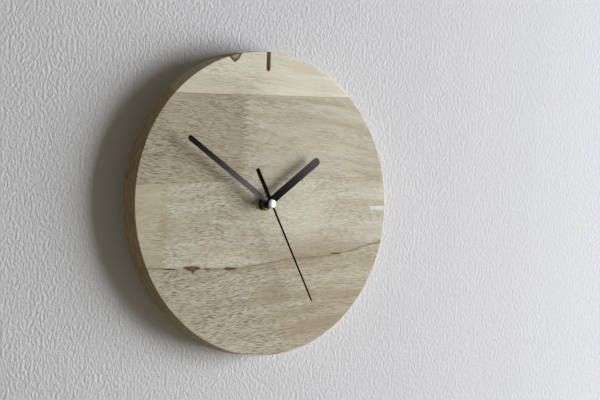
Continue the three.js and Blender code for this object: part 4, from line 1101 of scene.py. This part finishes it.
blackPlastic = mouldedPolystyrene()
whitePlastic = mouldedAcetal("mouldedWhiteAcetal", "#DCD9CF", "#EEECE6", 0.34, 0.5)
redPlastic = mouldedAcetal("mouldedRedAcetal", "#A83426", "#BE4331", 0.32, 0.5)

caseSize = {"flatWithin": 2.0, "sharpFrom": 30.0, "caseCorner": 0.18, "coverCorner": 0.12}


def dressedCopy(name, node, bevel):
    # a welded copy of a CAD node with its flat faces joined and its corners broken by a small bevel
    mesh = frame["nodes"][node].data.copy()
    mesh.name = name
    skin = bmesh.new()
    skin.from_mesh(mesh)
    bmesh.ops.remove_doubles(skin, verts=skin.verts, dist=weldWithin)
    level, sharp = math.radians(caseSize["flatWithin"]), math.radians(caseSize["sharpFrom"])
    bmesh.ops.dissolve_limit(skin, angle_limit=level, verts=skin.verts, edges=skin.edges)
    skin.to_mesh(mesh)
    skin.free()
    mesh.polygons.foreach_set("use_smooth", [True] * len(mesh.polygons))
    mesh.set_sharp_from_angle(angle=sharp)
    piece = bpy.data.objects.new(name, mesh)
    bpy.context.scene.collection.objects.link(piece)
    rounding = piece.modifiers.new("brokenCorners", "BEVEL")
    rounding.width = bevel * mm
    rounding.segments = 2
    rounding.limit_method = "ANGLE"
    rounding.angle_limit = sharp
    rounding.harden_normals = False
    return fit(piece, "clock", node, blackPlastic)


dressedCopy("movementCase", "movement_case", caseSize["caseCorner"])
dressedCopy("rearCover", "rear_cover", caseSize["coverCorner"])
print("case and cover made")

knobSize = {
    "radius": 5.5, "height": 2.4, "lobes": 18, "lobeDepth": 0.35, "edge": 0.2, "round": 0.06,
    "dish": 3.3, "dishDepth": 0.6, "dishSlope": 0.4, "dishLip": 0.15, "arbor": 1.5, "leaves": 12,
    "leafRadius": 2.4, "leafDepth": 0.45, "leafFlank": 1.5, "leafSpan": (4.0, 5.3), "pivot": 0.5,
    "around": 288,
}


def buildKnob(size):
    # rings round the setting arbor: a rim with shallow lobes, a dished back, then the arbor, leaves and
    # pivot; each step is a radius, a depth, and whether the lobes or the leaves shape it
    low, high = span("setting_knob")
    at = (low[0] + high[0]) / 2, (low[2] + high[2]) / 2
    back, lip, outer = high[1], size["dishLip"], size["radius"]
    edge, small = size["edge"], size["round"]
    front = back - size["height"]
    angle = fullTurn(size["around"])
    lobed = size["lobeDepth"] * (1 - np.cos(size["lobes"] * angle)) / 2
    leaf = size["leafDepth"] * np.clip(size["leafFlank"] * np.cos(size["leaves"] * angle), -1, 1)
    leafBack, leafFront = (front - into for into in size["leafSpan"])
    floor = back - size["dishDepth"]
    steps = [
        (0.0, floor, 0, 0),
        (size["dish"] - size["dishSlope"], floor, 0, 0),
        (size["dish"], back - lip, 0, 0),
        (size["dish"] + lip, back, 0, 0),
        (outer - edge, back, 1, 0),
        (outer - small, back - small, 1, 0),
        (outer, back - edge, 1, 0),
        (outer, front + edge, 1, 0),
        (outer - edge, front, 1, 0),
        (size["arbor"], front, 0, 0),
        (size["arbor"], leafBack, 0, 0),
        (size["leafRadius"], leafBack, 0, 1),
        (size["leafRadius"], leafFront, 0, 1),
        (size["pivot"], leafFront, 0, 0),
        (size["pivot"], low[1], 0, 0),
        (0.0, low[1], 0, 0),
    ]
    radius, depth, lobes, leaves = (np.array(column, float)[:, None] for column in zip(*steps))
    return [walls(aboutAxis(at, radius - lobes * lobed + leaves * leaf, depth, angle))]


makePiece("settingKnob", buildKnob(knobSize), "knob", "setting_knob", redPlastic)
print("setting knob made")


# Battery: a dry cell in a plain printed sleeve, with plated ends.

cellSize = {
    "radius": 7.0, "edge": 0.35, "round": 0.1, "nub": 2.75, "nubLength": 1.1, "nubEdge": 0.3,
    "foot": (1.6, 1.4, 0.15),  # a dish in the end: in from the side at its floor and brim, and its depth
    "shoulder": (1.2, 1.04, 0.4),  # the same round the nub
    "band": 14.0, "bareTip": 1.6, "bareFoot": 0.35,  # lengths from the ends
    "around": 72,
}


def cellSleeve(size):
    # Shrunk plastic sleeve printed in one blue with a copper band; past its ends the plated steel shows.
    add, dress = newFinish("shrunkCellSleeve")
    place = scaledPlace(add, 1, 1, 1)
    along = add("SeparateXYZ", {0: place}).outputs["X"]
    low, high = span("battery_cell")
    band = add("Math", {0: along, 1: high[0] - size["band"]}, operation="GREATER_THAN")
    colour = add("Mix", {"Factor": band, "A": "#3C5A7A", "B": "#A8794A"}, data_type="RGBA")
    plated = add("Math", {0: along, 1: high[0] - size["bareTip"]}, operation="GREATER_THAN")
    end = add("Math", {0: along, 1: low[0] + size["bareFoot"]}, operation="LESS_THAN")
    metal = add("Math", {0: plated, 1: end}, operation="MAXIMUM")
    colour = add("Mix", {"Factor": metal, "A": colour, "B": "#C9C8C4"}, data_type="RGBA")
    scuff = add("TexNoise", {"Vector": scaledPlace(add, 6, 2, 2), "Scale": 1.0, "Detail": 4.0})
    rough = add("MapRange", {"Value": scuff, "To Min": 0.22, "To Max": 0.42})
    bump = add("Bump", {"Height": scuff, "Strength": 0.1, "Distance": 0.04 * mm})
    return dress(Base_Color=colour, Metallic=metal, Roughness=rough, Normal=bump)


def buildCell(size):
    # a profile of radius and length turned about an axis along x
    low, high = span("battery_cell")
    axisY, axisZ = (low[1] + high[1]) / 2, (low[2] + high[2]) / 2
    left, tip = low[0], high[0]
    right = tip - size["nubLength"]
    radius, edge, small = size["radius"], size["edge"], size["round"]
    nub, nubEdge = size["nub"], size["nubEdge"]
    footFloor, footBrim, dish = size["foot"]
    stepFloor, stepBrim, drop = size["shoulder"]
    profile = [
        (0, left + dish), (radius - footFloor, left + dish), (radius - footBrim, left),
        (radius - edge, left), (radius - small, left + small), (radius, left + edge),
        (radius, right - edge), (radius - small, right - small), (radius - edge, right),
        (radius - stepBrim, right), (radius - stepFloor, right - drop), (nub + nubEdge, right - drop),
        (nub, right - drop + nubEdge), (nub, tip - nubEdge), (nub - small, tip - small),
        (nub - nubEdge, tip), (0, tip),
    ]
    turn = fullTurn(size["around"])
    width, along = (np.array(column, float)[:, None] for column in zip(*profile))
    rings = np.stack([
        np.broadcast_to(along, (len(profile), len(turn))),
        axisY + width * np.cos(turn),
        axisZ + width * np.sin(turn),
    ], axis=-1)
    return [walls(rings)]


makePiece("batteryCell", buildCell(cellSize), "clock", "battery_cell", cellSleeve(cellSize))
print("battery made")


# Finishes of the pieces inside the case.

def mouldedRubber():
    # Black nitrile rubber: dead matt with a faint bloom.
    add, dress = newFinish("nitrileRubber")
    bloom = add("TexNoise", {"Vector": scaledPlace(add, 3, 3, 3), "Scale": 1.0, "Detail": 4.0})
    colour = add("ValToRGB", {"Fac": bloom}, stops=[(0.3, "#1E1E1E"), (0.7, "#2C2C2B")])
    rough = add("MapRange", {"Value": bloom, "To Min": 0.8, "To Max": 0.95})
    return dress(Base_Color=colour, Roughness=rough)


def enamelledCopper():
    # Fine enamelled copper wire in layers: turns 0.3 mm apart, coarser than real, so that they show.
    add, dress = newFinish("enamelledCopperWire", Metallic=1.0, Coat_Weight=0.6, Coat_Roughness=0.2)
    across = add("SeparateXYZ", {0: scaledPlace(add, 0.3, 1, 1)}).outputs["X"]
    turnsAndGrooveShade = add("Math", {0: across, 1: 0.5}, operation="PINGPONG")
    # painted shade: the colour darkens into the grooves between turns
    colour = add("ValToRGB", {"Fac": turnsAndGrooveShade}, stops=[(0.0, "#6E3317"), (0.5, "#B5683A")])
    bump = add("Bump", {"Height": turnsAndGrooveShade, "Strength": 0.6, "Distance": 0.1 * mm})
    rough = add("MapRange", {"Value": turnsAndGrooveShade, "To Min": 0.42, "To Max": 0.24})
    return dress(Base_Color=colour, Roughness=rough, Normal=bump)


def sinteredFerrite():
    # Pressed and sintered ferrite: dark grey, dull, with a grit drawn 0.3 mm coarse so that it shows.
    add, dress = newFinish("sinteredFerrite")
    grit = add("TexNoise", {"Vector": scaledPlace(add, 0.3, 0.3, 0.3), "Scale": 1.0, "Detail": 4.0})
    colour = add("ValToRGB", {"Fac": grit}, stops=[(0.3, "#303033"), (0.7, "#434347")])
    bump = add("Bump", {"Height": grit, "Strength": 0.3, "Distance": 0.03 * mm})
    rough = add("MapRange", {"Value": grit, "To Min": 0.5, "To Max": 0.7})
    return dress(Base_Color=colour, Roughness=rough, Normal=bump)


def stampedSiliconSteel():
    # Stamped electrical steel: grey, with the rolling lines of the sheet along x.
    add, dress = newFinish("stampedSiliconSteel", Metallic=1.0)
    rolled = add("TexNoise", {"Vector": scaledPlace(add, 8, 1, 0.3), "Scale": 1.0, "Detail": 3.0})
    colour = add("ValToRGB", {"Fac": rolled}, stops=[(0.3, "#7F8286"), (0.7, "#979A9D")])
    bump = add("Bump", {"Height": rolled, "Strength": 0.15, "Distance": 0.02 * mm})
    rough = add("MapRange", {"Value": rolled, "To Min": 0.36, "To Max": 0.52})
    return dress(Base_Color=colour, Roughness=rough, Normal=bump)


def maskedBoard():
    # Glass-fibre board under a green solder mask: the weave of the cloth shows faintly, 0.5 mm apart.
    add, dress = newFinish("greenSolderMask")
    axes = add("SeparateXYZ", {0: scaledPlace(add, 0.5, 1, 0.5)})
    warp = add("Math", {0: axes.outputs["X"], 1: 0.5}, operation="PINGPONG")
    weft = add("Math", {0: axes.outputs["Z"], 1: 0.5}, operation="PINGPONG")
    weave = add("Math", {0: warp, 1: weft}, operation="ADD")
    colour = add("ValToRGB", {"Fac": weave}, stops=[(0.1, "#255A34"), (0.9, "#2F7043")])
    bump = add("Bump", {"Height": weave, "Strength": 0.1, "Distance": 0.03 * mm})
    rough = add("MapRange", {"Value": weave, "To Min": 0.3, "To Max": 0.42})
    return dress(Base_Color=colour, Roughness=rough, Normal=bump)


def epoxyDrop():
    # Black epoxy dropped over the chip: glossy, with a few settled ripples.
    add, dress = newFinish("blackEpoxyDrop")
    ripple = add("TexNoise", {"Vector": scaledPlace(add, 2, 2, 2), "Scale": 1.0, "Detail": 1.0})
    colour = add("ValToRGB", {"Fac": ripple}, stops=[(0.3, "#0D0D0E"), (0.7, "#151516")])
    bump = add("Bump", {"Height": ripple, "Strength": 0.3, "Distance": 0.08 * mm})
    rough = add("MapRange", {"Value": ripple, "To Min": 0.12, "To Max": 0.26})
    return dress(Base_Color=colour, Roughness=rough, Normal=bump)


def platedNickel():
    # Bright nickel over brass or steel strip: warm silver with a fine brushed grain.
    add, dress = newFinish("brightNickelPlate", Metallic=1.0)
    brushed = add("TexNoise", {"Vector": scaledPlace(add, 3, 0.2, 3), "Scale": 1.0, "Detail": 2.0})
    colour = add("ValToRGB", {"Fac": brushed}, stops=[(0.3, "#BDBAB2"), (0.7, "#D0CEC7")])
    bump = add("Bump", {"Height": brushed, "Strength": 0.1, "Distance": 0.02 * mm})
    rough = add("MapRange", {"Value": brushed, "To Min": 0.2, "To Max": 0.36})
    return dress(Base_Color=colour, Roughness=rough, Normal=bump)


nickel = platedNickel()
electricalSteel = stampedSiliconSteel()

whiteNodes = (
    "train_bridge", "rotor_pinion", "intermediate_wheel", "second_wheel", "third_wheel", "centre_wheel",
    "motion_wheel", "hour_wheel", "coil_bobbin",
)
nodeFinishes = {
    **{node: whitePlastic for node in whiteNodes},
    "cannon_pinion": brass,
    "rubber_gasket": mouldedRubber(),
    "rotor_magnet": sinteredFerrite(),
    "stator": electricalSteel,
    "coil_core": electricalSteel,
    "coil_winding": enamelledCopper(),
    "circuit_board": maskedBoard(),
    "chip_cap": epoxyDrop(),
    "crystal_can": nickel,
    "negative_contact": nickel,
    "positive_contact": nickel,
}
for node, finish in nodeFinishes.items():
    mesh = frame["nodes"][node].data
    mesh.materials.clear()
    mesh.materials.append(finish)
print("inner finishes given")


# Stage: a painted wall right behind the clock, a floor well below it, and plain light from the right.

stage = {
    "wallGap": 0.1,
    "openWithin": 60.0,  # the wall lets light through to a face nearer than this
    "wallHalfWidth": 3000.0,
    "wallTop": 1700.0,
    "floorAt": -1400.0,
    "wallTone": "#B6B7B9",
    "lumpSize": (2.5, 3.0, 3.5),
    "lumpHeight": 1.35,
    "lumpFade": (350.0, 0.3),  # the lumps are full this far to the left, and this share as far to the right
    "floorBase": "#8A8470",
    "floorTone": "#DCDCDA",
    "floorGlow": 0.85,
    "backdrop": 0.93,
    "frontGloss": 0.06,  # the backdrop that a gloss sees towards the front
    "glossRange": (-0.9, -0.3),  # the heading's y between which that changes
    "ambient": 0.2,
    "ambientTone": "#FFF5D6",
    "keyAt": (2500.0, -935.0, -60.0),  # from the middle of the face
    "keySide": 1320.0,
    "keyHeight": 1600.0,
    "keyTone": "#F8F9FF",
    "keyPower": 218.0,
    "backSunAt": (0.9, 1.0, 0.12),  # a direction far enough round to miss the rim that the camera sees
    "backSun": 3.8,
    "backSunSpread": 3.0,
}


def shaderAndOutput(material):
    # a material's shader node and its output node
    nodes = material.node_tree.nodes
    return nodes["Principled BSDF"], nodes["Material Output"]


def trowelledPlaster(look):
    # Rolled emulsion over trowelled plaster: pale, dead matt, with soft lumps a few millimetres across.
    # Seen from behind it lets the view through, so that the back of the clock can be looked at. It also
    # lets the light through that a close face gathers, or the back would stand in its own shadow.
    add, dress = newFinish(
        "paintedPlaster", Base_Color=look["wallTone"], Roughness=1.0, Specular_IOR_Level=0.0,
    )
    lumps = {"Vector": scaledPlace(add, *look["lumpSize"]), "Scale": 1.0, "Detail": 3.0, "Roughness": 0.6}
    lumps = add("TexNoise", lumps)
    across = add("SeparateXYZ", {0: scaledPlace(add, 1, 1, 1)}).outputs["X"]
    far, share = look["lumpFade"]
    fade = {"Value": across, "From Min": -far, "From Max": far, "To Min": 1.0, "To Max": share}
    fade = add("MapRange", fade)
    bump = add("Bump", {"Height": lumps, "Strength": fade, "Distance": look["lumpHeight"] * mm})
    material = dress(Normal=bump)
    surface, output = shaderAndOutput(material)
    behind = add("NewGeometry").outputs["Backfacing"]
    rays = add("LightPath").outputs
    close = add("Math", {0: rays["Ray Length"], 1: look["openWithin"] * mm}, operation="LESS_THAN")
    through = add("Math", {0: rays["Is Diffuse Ray"], 1: close}, operation="MULTIPLY")
    through = add("Math", {0: through, 1: behind}, operation="MAXIMUM")
    clear = add("BsdfTransparent", {"Color": "#FFFFFF"})
    seen = add("MixShader", {0: through, 1: surface, 2: clear})
    fill(material.node_tree, output, {"Surface": seen})
    return material


def stageSheet(name, corners, finish):
    # one flat quad for the stage, kept apart from the clock's bodies
    mesh = bpy.data.meshes.new(name)
    mesh.from_pydata([[value * mm for value in corner] for corner in corners], [], [[0, 1, 2, 3]])
    mesh.materials.append(finish)
    sheet = bpy.data.objects.new(name, mesh)
    bpy.context.scene.collection.objects.link(sheet)
    return sheet


def paintedFloor(look):
    # Pale grey floor paint, faintly pitted: it looks even and bright, and gives the clock a dim warm light.
    add, dress = newFinish("paintedFloor", Base_Color=look["floorBase"], Roughness=0.8)
    speck = add("TexNoise", {"Vector": scaledPlace(add, 6, 6, 6), "Scale": 1.0, "Detail": 3.0})
    material = dress(Normal=add("Bump", {"Height": speck, "Strength": 0.2, "Distance": 0.5 * mm}))
    surface, output = shaderAndOutput(material)
    rays = add("LightPath").outputs
    seen = add("Math", {0: rays["Is Camera Ray"], 1: rays["Is Glossy Ray"]}, operation="MAXIMUM")
    seen = add("Math", {0: seen, 1: rays["Is Transmission Ray"]}, operation="MAXIMUM")
    pale = add("Emission", {"Color": look["floorTone"], "Strength": 1.0})
    share = add("Math", {0: seen, 1: look["floorGlow"]}, operation="MULTIPLY")
    fill(material.node_tree, output, {"Surface": add("MixShader", {0: share, 1: surface, 2: pale})})
    return material


def setStage(look):
    # an upright sheet for the wall and a level one for the floor
    half, top, foot, gap = look["wallHalfWidth"], look["wallTop"], look["floorAt"], look["wallGap"]
    corners = [(-half, gap, foot), (half, gap, foot), (half, gap, top), (-half, gap, top)]
    wall = stageSheet("wall", corners, trowelledPlaster(look))
    wall.visible_shadow = False
    wall.visible_transmission = False
    far = 2 * half
    corners = [(-far, -far, foot), (far, -far, foot), (far, far, foot), (-far, far, foot)]
    stageSheet("floor", corners, paintedFloor(look))


def setWorld(look):
    # The backdrop is pale where the camera or a gloss looks at it, and otherwise the weak warm light that
    # a room gives into the shade. Towards the front it falls off for a gloss, as in a studio whose only
    # bright side is its window.
    world = bpy.data.worlds.new("studio")
    bpy.context.scene.world = world
    world.use_nodes = True
    tree = world.node_tree

    def add(kind, inputs=None, **settings):
        return addNode(tree, kind, inputs, **settings)

    rays = add("LightPath").outputs
    heading = add("SeparateXYZ", {0: add("TexCoord").outputs["Generated"]}).outputs["Y"]
    gloss = add("MapRange", {
        "Value": heading,
        "From Min": look["glossRange"][0],
        "From Max": look["glossRange"][1],
        "To Min": look["frontGloss"],
        "To Max": look["backdrop"],
    }, interpolation_type="SMOOTHSTEP")
    strength = add("Mix", {"Factor": rays["Is Glossy Ray"], "A": look["ambient"], "B": gloss})
    plain = add("Math", {0: rays["Is Camera Ray"], 1: rays["Is Transmission Ray"]}, operation="MAXIMUM")
    strength = add("Mix", {"Factor": plain, "A": strength, "B": look["backdrop"]})
    direct = add("Math", {0: plain, 1: rays["Is Glossy Ray"]}, operation="MAXIMUM")
    colour = add("Mix", {"Factor": direct, "A": look["ambientTone"], "B": "#FFFFFF"}, data_type="RGBA")
    fill(tree, tree.nodes["Background"], {"Color": colour, "Strength": strength})


def placeLamp(name, kind, place, side):
    # a lamp at a place in metres, whose light comes from the side that a vector points to
    lamp = bpy.data.lights.new(name, kind)
    holder = bpy.data.objects.new(name, lamp)
    holder.location = place
    holder.rotation_euler = Vector(side).to_track_quat("Z", "Y").to_euler()
    bpy.context.scene.collection.objects.link(holder)
    return lamp, holder


def setLights(look):
    # a wide soft light from the right, as from a window, and a weaker one behind for the clock's back
    middle = Vector((shaftX, discFront, shaftZ))
    place = (Vector(look["keyAt"]) + middle) * mm
    key, holder = placeLamp("windowLight", "AREA", place, look["keyAt"])
    key.shape = "RECTANGLE"
    key.size = look["keySide"] * mm
    key.size_y = look["keyHeight"] * mm
    key.energy = look["keyPower"]
    key.color = shade(look["keyTone"])[:3]
    holder.visible_camera = False
    sun, _ = placeLamp("backLight", "SUN", (0, 0, 0), look["backSunAt"])
    sun.energy = look["backSun"]
    sun.angle = math.radians(look["backSunSpread"])


setStage(stage)
setWorld(stage)
setLights(stage)
bpy.context.scene.view_settings.view_transform = "Standard"
print("stage and lights set")
